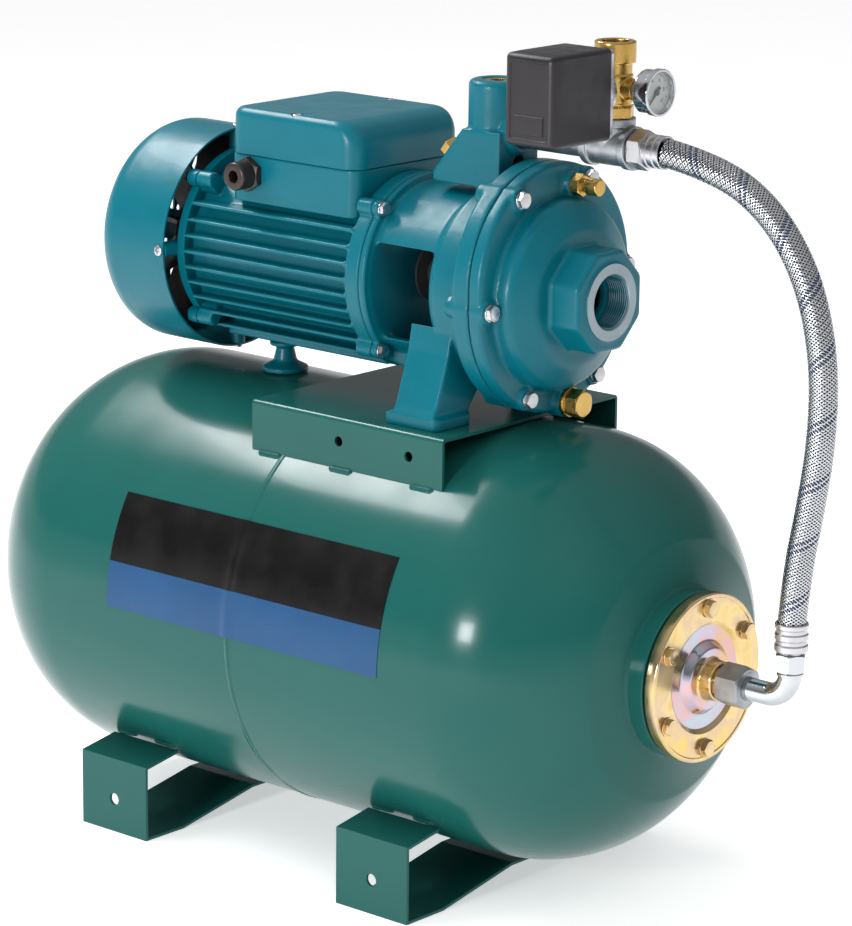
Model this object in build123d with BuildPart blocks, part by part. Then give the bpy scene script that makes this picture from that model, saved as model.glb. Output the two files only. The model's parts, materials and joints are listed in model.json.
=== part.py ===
from build123d import *
import math
import os

os.makedirs("parts", exist_ok=True)

# Booster set: a twin-impeller centrifugal pump on a horizontal membrane tank.
# Millimetres. +X runs from the fan end to the suction port, +Z is up, the floor is Z = 0.

# ---------------------------------------------------------------- driving dimensions
TANK_RADIUS = 190.0
TANK_AXIS_Z = 223.0
TANK_HALF_BARREL = 222.0
DOME_DEPTH = 155.0
TANK_WALL = 2.0
VALVE_REACH = 399.0            # air valve cap, from the middle of the tank
ELBOW_REACH = 476.0            # outside of the hose elbow, from the middle of the tank
TANK_X = -(ELBOW_REACH - VALVE_REACH) / 2

FLANGE_RADIUS = 73.0
FLANGE_THICK = 11.0
FLANGE_BACK = TANK_X + 370.0
FLANGE_BOLT_CIRCLE = 61.0
NIPPLE_RADIUS = 13.2           # G 3/4 male
PORT_MINOR = 12.1              # G 3/4 female, over the thread crests
SUCTION_MINOR = 22.4           # G 1 1/2 female, over the thread crests

FOOT_XS = (TANK_X - 162.0, TANK_X + 152.0)
FOOT_WIDTH = 82.0
FOOT_HALF_SPAN = 166.0
FOOT_HEIGHT = 70.0
FOOT_HOLE_Z = 31.0
FOOT_HOLE_RADIUS = 5.5
STRAP = 3.0

DECK_TOP = 417.0
DECK_SHEET = 3.0
DECK_X0 = TANK_X - 34.0
DECK_X1 = TANK_X + 186.0
DECK_HALF_WIDTH = 118.0

SHAFT_HEIGHT = 112.0           # pump foot to shaft centre
AXIS_Z = DECK_TOP + SHAFT_HEIGHT

FAN_COVER_REAR = TANK_X - 250.0
FAN_COVER_FRONT = TANK_X - 160.0
FAN_COVER_RADIUS = 101.0
HOUSING_X0 = TANK_X - 150.0
HOUSING_X1 = TANK_X + 60.0
HOUSING_RADIUS = 74.0
HOUSING_BORE = 68.0
FIN_RADIUS = 88.0
LANTERN_X1 = TANK_X + 142.0
LANTERN_RADIUS = 79.0
BODY_X1 = TANK_X + 196.0
BODY_RADIUS = 100.0
COVER_FLANGE_X1 = TANK_X + 210.0
SUCTION_FACE = TANK_X + 270.0
CASING_LIFT = 4.0              # the casing's oblong centre above the shaft
CASING_SLOT = 16.0             # distance between the oblong's two centres

BOSS_X = TANK_X + 142.0
BOSS_RADIUS = 25.0
BOSS_TOP = AXIS_Z + 176.0
MANIFOLD_X = TANK_X + 268.0
TEE_Z = AXIS_Z + 133.0
CROSS_Z = TEE_Z + 49.0
FIVE_WAY_TOP = AXIS_Z + 221.0

HOSE_DIAMETER = 25.0
ELBOW_X = TANK_X + 466.0
BEARING_BORE, BEARING_OUTSIDE, BEARING_WIDTH = 12.5, 26.0, 15.0
BALL_RADIUS, BALL_PITCH_RADIUS, BALLS = 3.97, 19.25, 9
REAR_BEARING_X = TANK_X - 176.0
FRONT_BEARING_X = TANK_X + 41.0
COVER_SCREW_X = TANK_X - 165.0
RUN_GAP = 0.05                 # running clearance, on the radius
FIT_GAP = 0.02                 # clearance of a fixed fit, on the radius

PUMP_PLANE = Plane(origin=(0, 0, AXIS_Z), x_dir=(1, 0, 0), z_dir=(0, -1, 0))
PUMP_AXIS = Axis((0, 0, AXIS_Z), (1, 0, 0))
TANK_PLANE = Plane(origin=(0, 0, TANK_AXIS_Z), x_dir=(1, 0, 0), z_dir=(0, -1, 0))
TANK_AXIS = Axis((0, 0, TANK_AXIS_Z), (1, 0, 0))
ROW_X = Vector(1, 0, 0)
ROW_Z = Vector(0, 0, 1)


# ---------------------------------------------------------------- shared operations
def turn(profile, rounds=None, mode=Mode.ADD, plane=PUMP_PLANE, axis=PUMP_AXIS):
    """Revolve a closed (station, radius) outline; rounds maps a corner's index to its radius."""
    with BuildSketch(plane) as outline:
        with BuildLine():
            Polyline(*profile, close=True)
        make_face()
        for corner, radius in (rounds or {}).items():
            fillet(outline.vertices().sort_by_distance(profile[corner])[0], radius)
    revolve(outline.sketch, axis=axis, mode=mode)


def rod(start, end, radius, mode=Mode.ADD):
    """A round bar between two points."""
    run = Vector(*end) - Vector(*start)
    with BuildSketch(Plane(origin=start, z_dir=run)) as section:
        Circle(radius)
    extrude(section.sketch, amount=run.length, mode=mode)


def hexagon(start, end, across_flats, mode=Mode.ADD):
    """A hexagonal bar between two points."""
    run = Vector(*end) - Vector(*start)
    with BuildSketch(Plane(origin=start, z_dir=run)) as section:
        RegularPolygon(across_flats / 2, 6, major_radius=False)
    extrude(section.sketch, amount=run.length, mode=mode)


def block(low, high, corner=0.0, mode=Mode.ADD):
    """A box between two corners, its upright edges rounded."""
    size = Vector(*high) - Vector(*low)
    middle = (Vector(*high) + Vector(*low)) / 2
    with BuildSketch(Plane.XY.offset(low[2])) as section:
        with Locations((middle.X, middle.Y)):
            if corner:
                RectangleRounded(size.X, size.Y, corner)
            else:
                Rectangle(size.X, size.Y)
    extrude(section.sketch, amount=size.Z, mode=mode)


def hex_bolt(seat, direction, shank, length, across_flats, head):
    """A hexagon bolt: the head stands out along direction from its seat."""
    seat = Vector(*seat)
    hexagon(seat, seat + direction * head, across_flats)
    rod(seat, seat - direction * length, shank)


def around(radius, count, start):
    """Points (y, z) on a circle about the shaft."""
    for index in range(count):
        angle = math.radians(start + 360.0 * index / count)
        yield radius * math.cos(angle), AXIS_Z + radius * math.sin(angle)


def save(part, name):
    """Label a finished piece and write it to its own file."""
    part.label = name
    export_step(part, f"parts/{name}.step")


# ---------------------------------------------------------------- tank
def tank_outline(inset):
    """Half of the tank's section, with elliptical domes, drawn in the tank's plane."""
    with BuildSketch(TANK_PLANE) as half:
        with Locations((TANK_X, 0)):
            Rectangle(2 * TANK_HALF_BARREL, 2 * (TANK_RADIUS - inset))
        with Locations((TANK_X - TANK_HALF_BARREL, 0), (TANK_X + TANK_HALF_BARREL, 0)):
            Ellipse(DOME_DEPTH - inset, TANK_RADIUS - inset)
        with Locations((TANK_X, -TANK_RADIUS)):
            Rectangle(4 * TANK_RADIUS, 2 * TANK_RADIUS, mode=Mode.SUBTRACT)
    return half.sketch


COLLAR_X0 = TANK_X + 352.0
COLLAR_X1 = FLANGE_BACK - 2.0
COLLAR_BORE = 50.0

with BuildPart() as tank_shell:
    revolve(tank_outline(0), axis=TANK_AXIS)
    turn([(COLLAR_X0, 0), (COLLAR_X0, FLANGE_RADIUS), (COLLAR_X1, FLANGE_RADIUS), (COLLAR_X1, 0)], {2: 1.0},
         plane=TANK_PLANE, axis=TANK_AXIS)
    rod((COLLAR_X1, 0, TANK_AXIS_Z), (COLLAR_X1 + 20, 0, TANK_AXIS_Z), 90, Mode.SUBTRACT)
    revolve(tank_outline(TANK_WALL), axis=TANK_AXIS, mode=Mode.SUBTRACT)
    turn([(COLLAR_X0, COLLAR_BORE), (COLLAR_X0, FLANGE_RADIUS - 2), (COLLAR_X1 - 0.5, FLANGE_RADIUS - 2),
          (COLLAR_X1 - 0.5, COLLAR_BORE)],
         plane=TANK_PLANE, axis=TANK_AXIS)
    rod((COLLAR_X0 - 20, 0, TANK_AXIS_Z), (COLLAR_X1 + 5, 0, TANK_AXIS_Z), COLLAR_BORE, Mode.SUBTRACT)
    rod((TANK_X - 390, 0, TANK_AXIS_Z), (TANK_X - 360, 0, TANK_AXIS_Z), 5.0, Mode.SUBTRACT)
    with BuildSketch(Plane.YZ.offset(COLLAR_X1)) as collar_holes:
        with Locations((0, TANK_AXIS_Z)):
            with PolarLocations(FLANGE_BOLT_CIRCLE, 6, start_angle=30):
                Circle(4.0 + FIT_GAP)
    extrude(collar_holes.sketch, amount=-12, mode=Mode.SUBTRACT)
save(tank_shell.part, "tank_shell")

with BuildPart() as tank_bladder:
    turn([(TANK_X - 280, 0), (TANK_X - 280, 150), (TANK_X + 300, 150), (COLLAR_X0 - 6, 46),
          (COLLAR_X1 + 0.2, 46), (COLLAR_X1 + 0.2, 54), (COLLAR_X1 + 1.9, 54), (COLLAR_X1 + 1.9, 43),
          (COLLAR_X0 - 8, 43), (TANK_X + 297, 147), (TANK_X - 277, 147), (TANK_X - 277, 0)],
         {1: 90, 2: 60, 9: 57, 10: 87}, plane=TANK_PLANE, axis=TANK_AXIS)
save(tank_bladder.part, "tank_bladder")

FLANGE_FRONT = FLANGE_BACK + FLANGE_THICK
HUB_X1 = FLANGE_FRONT + 16.0
NIPPLE_X1 = HUB_X1 + 18.0

with BuildPart() as tank_flange:
    turn([(FLANGE_BACK, 9), (FLANGE_BACK, FLANGE_RADIUS), (FLANGE_FRONT, FLANGE_RADIUS), (FLANGE_FRONT, 47),
          (FLANGE_FRONT - 3, 44), (FLANGE_FRONT - 3, 31), (FLANGE_FRONT + 3, 26), (FLANGE_FRONT + 3, 17.5),
          (HUB_X1, 16.5), (HUB_X1, NIPPLE_RADIUS), (NIPPLE_X1, NIPPLE_RADIUS), (NIPPLE_X1, 9)],
         {2: 2.5, 6: 1.5}, plane=TANK_PLANE, axis=TANK_AXIS)
    with BuildSketch(Plane.YZ.offset(FLANGE_FRONT)) as flange_holes:
        with Locations((0, TANK_AXIS_Z)):
            with PolarLocations(FLANGE_BOLT_CIRCLE, 6, start_angle=30):
                Circle(4.5)
            with PolarLocations(FLANGE_BOLT_CIRCLE, 6, start_angle=60):
                Circle(2.0)
    extrude(flange_holes.sketch, amount=-FLANGE_THICK, mode=Mode.SUBTRACT)
save(tank_flange.part, "tank_flange")

with BuildPart() as flange_bolts:
    for index in range(6):
        angle = math.radians(30 + 60 * index)
        seat = (FLANGE_FRONT, FLANGE_BOLT_CIRCLE * math.cos(angle),
                TANK_AXIS_Z + FLANGE_BOLT_CIRCLE * math.sin(angle))
        hex_bolt(seat, ROW_X, 4.0, FLANGE_THICK + 10, 13.0, 5.5)
save(flange_bolts.part, "flange_bolts")

VALVE_X = TANK_X - TANK_HALF_BARREL - DOME_DEPTH

with BuildPart() as air_valve:
    turn([(VALVE_X - 16, 1.6), (VALVE_X - 16, 3.9), (VALVE_X - 2, 3.9), (VALVE_X - 2, 8),
          (VALVE_X - 0.3, 8), (VALVE_X - 0.3, 4.9), (VALVE_X + 12, 4.9), (VALVE_X + 12, 1.6)],
         plane=TANK_PLANE, axis=TANK_AXIS)
    turn([(TANK_X - VALVE_REACH, 0), (TANK_X - VALVE_REACH, 17), (VALVE_X - 0.3, 18.5),
          (VALVE_X - 0.3, 16.5), (TANK_X - VALVE_REACH + 2, 15), (TANK_X - VALVE_REACH + 2, 6),
          (VALVE_X - 8, 6), (VALVE_X - 8, 4.0), (TANK_X - VALVE_REACH + 4, 4.0),
          (TANK_X - VALVE_REACH + 4, 0)],
         {1: 3.0}, plane=TANK_PLANE, axis=TANK_AXIS)
save(air_valve.part, "air_valve")

# Each foot is one strap, bent up at both ends and bowed up under the tank.
FOOT_TAB_Y, FOOT_TAB_Z = 124.0, 77.0
foot_line = [(-FOOT_TAB_Y, FOOT_TAB_Z), (-FOOT_HALF_SPAN, FOOT_HEIGHT), (-FOOT_HALF_SPAN, 0.0),
             (-118.0, 0.0), (-26.0, 17.0), (26.0, 17.0), (118.0, 0.0), (FOOT_HALF_SPAN, 0.0),
             (FOOT_HALF_SPAN, FOOT_HEIGHT), (FOOT_TAB_Y, FOOT_TAB_Z)]
for foot_name, foot_x in zip(("tank_foot_left", "tank_foot_right"), FOOT_XS):
    with BuildPart() as tank_foot:
        with BuildSketch(Plane.YZ.offset(foot_x - FOOT_WIDTH / 2)) as strap_section:
            with BuildLine():
                outer_bend = Polyline(*foot_line)
                offset(outer_bend, amount=STRAP, side=Side.LEFT, closed=True, mode=Mode.ADD)
            make_face()
        extrude(strap_section.sketch, amount=FOOT_WIDTH)
        rod((foot_x, -FOOT_HALF_SPAN - 5, FOOT_HOLE_Z), (foot_x, FOOT_HALF_SPAN + 5, FOOT_HOLE_Z),
            FOOT_HOLE_RADIUS, Mode.SUBTRACT)
        rod((foot_x - 90, 0, TANK_AXIS_Z), (foot_x + 90, 0, TANK_AXIS_Z), TANK_RADIUS + 0.1, Mode.SUBTRACT)
    save(tank_foot.part, foot_name)

# The platform is a folded sheet whose sides follow the tank.
PAD_BOLT_X = TANK_X + 136.0
PAD_BOLT_Y = 80.0
with BuildPart() as pump_platform:
    block((DECK_X0, -DECK_HALF_WIDTH, 360), (DECK_X1, DECK_HALF_WIDTH, DECK_TOP))
    fillet(pump_platform.edges().filter_by(Axis.X).group_by(Axis.Z)[-1], 4)
    block((DECK_X0 - 1, -DECK_HALF_WIDTH + DECK_SHEET, 350),
          (DECK_X1 + 1, DECK_HALF_WIDTH - DECK_SHEET, DECK_TOP - DECK_SHEET), mode=Mode.SUBTRACT)
    for hole_x in (TANK_X + 68.0, TANK_X + 148.0):
        rod((hole_x, -DECK_HALF_WIDTH - 5, AXIS_Z - 133), (hole_x, DECK_HALF_WIDTH + 5, AXIS_Z - 133), 4.5,
            Mode.SUBTRACT)
    for hole_y in (-PAD_BOLT_Y, PAD_BOLT_Y):
        rod((PAD_BOLT_X, hole_y, 400), (PAD_BOLT_X, hole_y, 430), 5.5, Mode.SUBTRACT)
    rod((DECK_X0 - 50, 0, TANK_AXIS_Z), (DECK_X1 + 50, 0, TANK_AXIS_Z), TANK_RADIUS + 0.3, Mode.SUBTRACT)
save(pump_platform.part, "pump_platform")

with BuildPart() as platform_bolts:
    for bolt_y in (-PAD_BOLT_Y, PAD_BOLT_Y):
        hex_bolt((PAD_BOLT_X, bolt_y, DECK_TOP + 10), ROW_Z, 5.0, 24, 17.0, 6.5)
        hexagon((PAD_BOLT_X, bolt_y, DECK_TOP - DECK_SHEET),
                (PAD_BOLT_X, bolt_y, DECK_TOP - DECK_SHEET - 8), 17.0)
save(platform_bolts.part, "platform_bolts")

# ---------------------------------------------------------------- motor
LUG_RADIUS = 7.5
LUG_CIRCLE = 88.0
FIN_PITCH = 14.0
FIN_THICK = 3.2

with BuildPart() as motor_housing:
    turn([(HOUSING_X0, HOUSING_BORE), (HOUSING_X0, HOUSING_RADIUS), (HOUSING_X1 - 17, HOUSING_RADIUS),
          (HOUSING_X1 - 16, 86), (HOUSING_X1, 86), (HOUSING_X1, HOUSING_BORE)],
         {4: 1.5})
    for level in range(-5, 4):
        fin_z = AXIS_Z + FIN_PITCH * level
        fin_half = math.sqrt(FIN_RADIUS ** 2 - (FIN_PITCH * level) ** 2)
        core_half = math.sqrt(max((HOUSING_RADIUS - 2) ** 2 - (FIN_PITCH * level) ** 2, 9.0))
        for side in (-1, 1):
            near, far = sorted((side * core_half, side * fin_half))
            block((HOUSING_X0 + 2, near, fin_z - FIN_THICK / 2),
                  (HOUSING_X1 - 15, far, fin_z + FIN_THICK / 2))
    for fin_y in (-28.0, -14.0, 0.0, 14.0, 28.0):
        reach = math.sqrt(FIN_RADIUS ** 2 - fin_y ** 2)
        block((HOUSING_X0 + 2, fin_y - FIN_THICK / 2, AXIS_Z - reach),
              (HOUSING_X1 - 15, fin_y + FIN_THICK / 2, AXIS_Z - HOUSING_RADIUS + 5 + abs(fin_y) * 0.2))
    for lug_y, lug_z in around(LUG_CIRCLE, 4, 45):
        rod((HOUSING_X0, lug_y, lug_z), (HOUSING_X0 + 18, lug_y, lug_z), LUG_RADIUS)
        rod((HOUSING_X1 - 17, lug_y, lug_z), (HOUSING_X1, lug_y, lug_z), LUG_RADIUS)
    for lug_y, lug_z in around(LUG_CIRCLE - LUG_RADIUS, 4, 45):
        rod((HOUSING_X0, lug_y, lug_z), (HOUSING_X0 + 18, lug_y, lug_z), LUG_RADIUS)
    turn([(HOUSING_X0 - 1, 0), (HOUSING_X0 - 1, HOUSING_BORE), (HOUSING_X1 + 1, HOUSING_BORE),
          (HOUSING_X1 + 1, 0)],
         mode=Mode.SUBTRACT)
    for lug_y, lug_z in around(LUG_CIRCLE, 4, 45):
        rod((HOUSING_X0 - 1, lug_y, lug_z), (HOUSING_X0 + 15, lug_y, lug_z), 3.02, Mode.SUBTRACT)
        rod((HOUSING_X1 - 14, lug_y, lug_z), (HOUSING_X1 + 1, lug_y, lug_z), 3.02, Mode.SUBTRACT)
save(motor_housing.part, "motor_housing")

with BuildPart() as rear_shield:
    turn([(REAR_BEARING_X - 3, 15), (REAR_BEARING_X - 3, 32), (HOUSING_X0 - 12, 36), (HOUSING_X0 - 10, 84),
          (HOUSING_X0, 84), (HOUSING_X0, HOUSING_BORE - 0.1), (HOUSING_X0 + 6, HOUSING_BORE - 0.1),
          (HOUSING_X0 + 6, 64), (HOUSING_X0 - 4, 60), (HOUSING_X0 - 4, 31), (REAR_BEARING_X + 17, 29),
          (REAR_BEARING_X + 17, BEARING_OUTSIDE + FIT_GAP), (REAR_BEARING_X, BEARING_OUTSIDE + FIT_GAP),
          (REAR_BEARING_X, 15)],
         {3: 2})
    for lug_y, lug_z in around(LUG_CIRCLE, 4, 45):
        rod((HOUSING_X0 - 10, lug_y, lug_z), (HOUSING_X0, lug_y, lug_z), LUG_RADIUS)
        rod((HOUSING_X0 - 11, lug_y, lug_z), (HOUSING_X0 + 1, lug_y, lug_z), 3.3, Mode.SUBTRACT)
    for lug_y, lug_z in around(1.0, 4, 0):
        reach = Vector(0, lug_y, lug_z - AXIS_Z)
        lug_foot = Vector(COVER_SCREW_X, 0, AXIS_Z) + reach * 76
        rod(lug_foot, lug_foot + reach * 22.7, 7)
        rod(lug_foot + reach * 10, lug_foot + reach * 24, 2.05, Mode.SUBTRACT)
save(rear_shield.part, "rear_shield")

with BuildPart() as stator_core:
    turn([(TANK_X - 120, 42), (TANK_X - 120, HOUSING_BORE - FIT_GAP), (TANK_X + 10, HOUSING_BORE - FIT_GAP),
          (TANK_X + 10, 42)])
    with BuildSketch(Plane.YZ.offset(TANK_X - 120)) as slots:
        with Locations((0, AXIS_Z)):
            with PolarLocations(49.5, 24):
                Rectangle(13, 5)
    extrude(slots.sketch, amount=130, mode=Mode.SUBTRACT)
save(stator_core.part, "stator_core")

with BuildPart() as stator_windings:
    for ring_x0, ring_x1 in ((TANK_X - 144, TANK_X - 120.2), (TANK_X + 10.2, TANK_X + 34)):
        turn([(ring_x0, 45), (ring_x0, 62), (ring_x1, 62), (ring_x1, 45)], {0: 6, 1: 6})
    with BuildSketch(Plane.YZ.offset(TANK_X - 121)) as coil_sides:
        with Locations((0, AXIS_Z)):
            with PolarLocations(49.5, 24):
                Rectangle(11.5, 3.8)
    extrude(coil_sides.sketch, amount=132)
save(stator_windings.part, "stator_windings")

with BuildPart() as rotor_core:
    turn([(TANK_X - 120, 15.52), (TANK_X - 120, 41.5), (TANK_X + 10, 41.5), (TANK_X + 10, 15.52)])
    turn([(TANK_X - 127, 28), (TANK_X - 127, 40), (TANK_X - 120, 40), (TANK_X - 120, 28)], {0: 2, 1: 2})
    turn([(TANK_X + 10, 28), (TANK_X + 10, 40), (TANK_X + 17, 40), (TANK_X + 17, 28)], {2: 2, 3: 2})
save(rotor_core.part, "rotor_core")

SHAFT_STEPS = [(-226, 10.0), (-176, 12.49), (-161, 14.0), (-130, 15.5), (20, 14.0), (41, 12.49), (56, 11.5),
               (150, 9.0), (226, 7.0), (240, 7.0)]
with BuildPart() as shaft:
    shaft_profile = [(TANK_X + SHAFT_STEPS[0][0], 0)]
    for (step_x, step_radius), (next_x, next_radius) in zip(SHAFT_STEPS, SHAFT_STEPS[1:]):
        shaft_profile.append((TANK_X + step_x, step_radius))
        shaft_profile.append((TANK_X + next_x, step_radius))
    shaft_profile.append((TANK_X + SHAFT_STEPS[-1][0], 0))
    turn(shaft_profile, {1: 1.0})
save(shaft.part, "shaft")


def bearing_ring(start_x, inside, outside):
    """One bearing ring with its ball groove."""
    middle = start_x + BEARING_WIDTH / 2
    turn([(start_x, inside), (start_x, outside), (start_x + BEARING_WIDTH, outside),
          (start_x + BEARING_WIDTH, inside)])
    with BuildSketch(PUMP_PLANE) as groove:
        with Locations((middle, BALL_PITCH_RADIUS)):
            Circle(BALL_RADIUS + RUN_GAP)
    revolve(groove.sketch, axis=PUMP_AXIS, mode=Mode.SUBTRACT)


with BuildPart() as bearing_outer_rings:
    for bearing_x in (REAR_BEARING_X, FRONT_BEARING_X):
        bearing_ring(bearing_x, 22.0, BEARING_OUTSIDE)
save(bearing_outer_rings.part, "bearing_outer_rings")

with BuildPart() as bearing_inner_rings:
    for bearing_x in (REAR_BEARING_X, FRONT_BEARING_X):
        bearing_ring(bearing_x, BEARING_BORE, 16.5)
save(bearing_inner_rings.part, "bearing_inner_rings")

with BuildPart() as bearing_balls:
    for bearing_x in (REAR_BEARING_X, FRONT_BEARING_X):
        middle_x = bearing_x + BEARING_WIDTH / 2
        for ball_y, ball_z in around(BALL_PITCH_RADIUS, BALLS, 0):
            with Locations((middle_x, ball_y, ball_z)):
                Sphere(BALL_RADIUS)
save(bearing_balls.part, "bearing_balls")

with BuildPart() as cooling_fan:
    turn([(TANK_X - 222, 10.03), (TANK_X - 222, 17), (TANK_X - 205, 19), (TANK_X - 203, 42),
          (TANK_X - 200, 42), (TANK_X - 198, 10.03)],
         {3: 1})
    for blade in range(9):
        with BuildSketch(Plane(origin=(TANK_X - 206, 0, AXIS_Z),
                               x_dir=(0, math.cos(blade * math.tau / 9), math.sin(blade * math.tau / 9)),
                               z_dir=(1, 0, 0))) as blade_section:
            with Locations((52, 0)):
                Rectangle(72, 2.4)
        extrude(blade_section.sketch, amount=20, both=True)
    turn([(TANK_X - 230, 0), (TANK_X - 230, 10.03), (TANK_X - 180, 10.03), (TANK_X - 180, 0)],
         mode=Mode.SUBTRACT)
    turn([(TANK_X - 198, 0), (TANK_X - 198, 36), (TANK_X - 180, 36), (TANK_X - 180, 0)], mode=Mode.SUBTRACT)
save(cooling_fan.part, "cooling_fan")

with BuildPart() as fan_cover:
    turn([(FAN_COVER_REAR, 0), (FAN_COVER_REAR, FAN_COVER_RADIUS), (FAN_COVER_FRONT, FAN_COVER_RADIUS),
          (FAN_COVER_FRONT, 0)],
         {1: 26})
    turn([(FAN_COVER_REAR + 1.8, 0), (FAN_COVER_REAR + 1.8, FAN_COVER_RADIUS - 1.8),
          (FAN_COVER_FRONT + 1, FAN_COVER_RADIUS - 1.8), (FAN_COVER_FRONT + 1, 0)],
         {1: 24.2}, Mode.SUBTRACT)
    with BuildSketch(Plane.YZ.offset(FAN_COVER_REAR - 5)) as grille:
        with Locations((0, AXIS_Z)):
            with PolarLocations(24, 12):
                SlotOverall(20, 5)
            with PolarLocations(54, 24):
                SlotOverall(30, 5.5)
    extrude(grille.sketch, amount=20, mode=Mode.SUBTRACT)
    for screw_y, screw_z in around(1.0, 4, 0):
        reach = Vector(0, screw_y, screw_z - AXIS_Z)
        seat = Vector(COVER_SCREW_X, 0, AXIS_Z)
        rod(seat + reach * 90, seat + reach * 110, 2.6, Mode.SUBTRACT)
save(fan_cover.part, "fan_cover")


LANTERN_X0 = HOUSING_X1
WINDOW_X0, WINDOW_X1 = LANTERN_X0 + 8.0, LANTERN_X1 - 7.0
WINDOW_LOW, WINDOW_HIGH = -50.0, 34.0

with BuildPart() as lantern:
    turn([(LANTERN_X0 - 20, BEARING_OUTSIDE + FIT_GAP), (LANTERN_X0 - 20, 33), (LANTERN_X0 - 3, 36),
          (LANTERN_X0 - 3, 60), (LANTERN_X0 - 7, 60), (LANTERN_X0 - 7, HOUSING_BORE - 0.1),
          (LANTERN_X0, HOUSING_BORE - 0.1), (LANTERN_X0, 86), (LANTERN_X0 + 7, 86),
          (LANTERN_X0 + 7, LANTERN_RADIUS), (LANTERN_X1 - 8, LANTERN_RADIUS), (LANTERN_X1, 84),
          (LANTERN_X1, 60), (LANTERN_X1 - 6, 60), (LANTERN_X1 - 8, LANTERN_RADIUS - 7),
          (LANTERN_X0 + 8, LANTERN_RADIUS - 7), (LANTERN_X0 + 5, 14), (LANTERN_X0 - 1, 14),
          (LANTERN_X0 - 1, BEARING_OUTSIDE - 6), (LANTERN_X0 - 4, BEARING_OUTSIDE - 6),
          (LANTERN_X0 - 4, BEARING_OUTSIDE + FIT_GAP)],
         {8: 1.5})
    for lug_y, lug_z in around(LUG_CIRCLE, 4, 45):
        rod((LANTERN_X0, lug_y, lug_z), (LANTERN_X0 + 7, lug_y, lug_z), LUG_RADIUS)
        rod((LANTERN_X0 - 1, lug_y, lug_z), (LANTERN_X0 + 8, lug_y, lug_z), 3.3, Mode.SUBTRACT)
    with BuildSketch(Plane.XZ) as window:
        with Locations(((WINDOW_X0 + WINDOW_X1) / 2, AXIS_Z + (WINDOW_LOW + WINDOW_HIGH) / 2)):
            RectangleRounded(WINDOW_X1 - WINDOW_X0, WINDOW_HIGH - WINDOW_LOW, 5)
    extrude(window.sketch, amount=120, both=True, mode=Mode.SUBTRACT)
    for side in (-1, 1):
        with BuildSketch(Plane.XZ.offset(side * 42)) as strut:
            with BuildLine():
                Polyline((LANTERN_X0 + 1, AXIS_Z - 62), (TANK_X + 115.7, AXIS_Z - 74),
                         (TANK_X + 115.7, AXIS_Z - 88), (LANTERN_X0 + 1, AXIS_Z - 74), close=True)
            make_face()
        extrude(strut.sketch, amount=4, both=True)
    rod((LANTERN_X0 - 30, 0, AXIS_Z), (LANTERN_X0 + 10, 0, AXIS_Z), 13.5, Mode.SUBTRACT)
save(lantern.part, "lantern")

with BuildPart() as motor_bolts:
    for lug_y, lug_z in around(LUG_CIRCLE, 4, 45):
        hex_bolt((LANTERN_X0 + 7, lug_y, lug_z), ROW_X, 3.0, 20, 10.0, 5.0)
        hex_bolt((HOUSING_X0 - 10, lug_y, lug_z), -ROW_X, 3.0, 22, 10.0, 4.5)
save(motor_bolts.part, "motor_bolts")

with BuildPart() as water_slinger:
    turn([(LANTERN_X0 + 10, 11.53), (LANTERN_X0 + 10, 15), (LANTERN_X0 + 13, 26), (LANTERN_X0 + 15, 26),
          (LANTERN_X0 + 18, 15), (LANTERN_X0 + 22, 15), (LANTERN_X0 + 22, 11.53)])
save(water_slinger.part, "water_slinger")

LEG_X = TANK_X - 105.0
LEG_FOOT_Z = TANK_AXIS_Z + TANK_RADIUS + 0.4
with BuildPart() as motor_leg:
    with BuildSketch(Plane(origin=(LEG_X, 0, 0), x_dir=(1, 0, 0), z_dir=(0, -1, 0))) as leg_profile:
        with BuildLine():
            Polyline((0, LEG_FOOT_Z), (21, LEG_FOOT_Z), (21, LEG_FOOT_Z + 4), (11, LEG_FOOT_Z + 9),
                     (8, AXIS_Z - FIN_RADIUS - 6), (14, AXIS_Z - FIN_RADIUS - 4),
                     (14, AXIS_Z - FIN_RADIUS - 0.3), (0, AXIS_Z - FIN_RADIUS - 0.3), close=True)
        make_face()
        fillet(leg_profile.vertices().sort_by_distance((11, LEG_FOOT_Z + 9))[0], 4)
    revolve(leg_profile.sketch, axis=Axis((LEG_X, 0, 0), (0, 0, 1)))
save(motor_leg.part, "motor_leg")

# ---------------------------------------------------------------- terminal box
BOX_X0, BOX_X1 = TANK_X - 108.0, TANK_X + 42.0
BOX_X = (BOX_X0 + BOX_X1) / 2
BOX_HALF_Y = 70.0
BOX_FLOOR, BOX_SEAM, BOX_TOP = AXIS_Z + 50.0, AXIS_Z + 92.0, AXIS_Z + 133.0
GLAND_X, GLAND_Z = TANK_X - 82.0, AXIS_Z + 75.5

with BuildPart() as terminal_box:
    block((BOX_X0, -BOX_HALF_Y, BOX_FLOOR), (BOX_X1, BOX_HALF_Y, BOX_SEAM), 12)
    turn([(BOX_X0 - 60, 0), (BOX_X0 - 60, HOUSING_RADIUS + 0.3), (BOX_X1 + 60, HOUSING_RADIUS + 0.3),
          (BOX_X1 + 60, 0)],
         mode=Mode.SUBTRACT)
    block((BOX_X0 + 4, -BOX_HALF_Y + 4, AXIS_Z + HOUSING_RADIUS + 4),
          (BOX_X1 - 4, BOX_HALF_Y - 4, BOX_SEAM + 1), 9, Mode.SUBTRACT)
    for post_y in (-BOX_HALF_Y + 8, BOX_HALF_Y - 8):
        rod((BOX_X, post_y, BOX_FLOOR + 25), (BOX_X, post_y, BOX_SEAM), 5)
        rod((BOX_X, post_y, BOX_SEAM - 10), (BOX_X, post_y, BOX_SEAM + 1), 2.1, Mode.SUBTRACT)
    rod((GLAND_X, -BOX_HALF_Y - 1, GLAND_Z), (GLAND_X, -BOX_HALF_Y + 8, GLAND_Z), 8.1, Mode.SUBTRACT)
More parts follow.
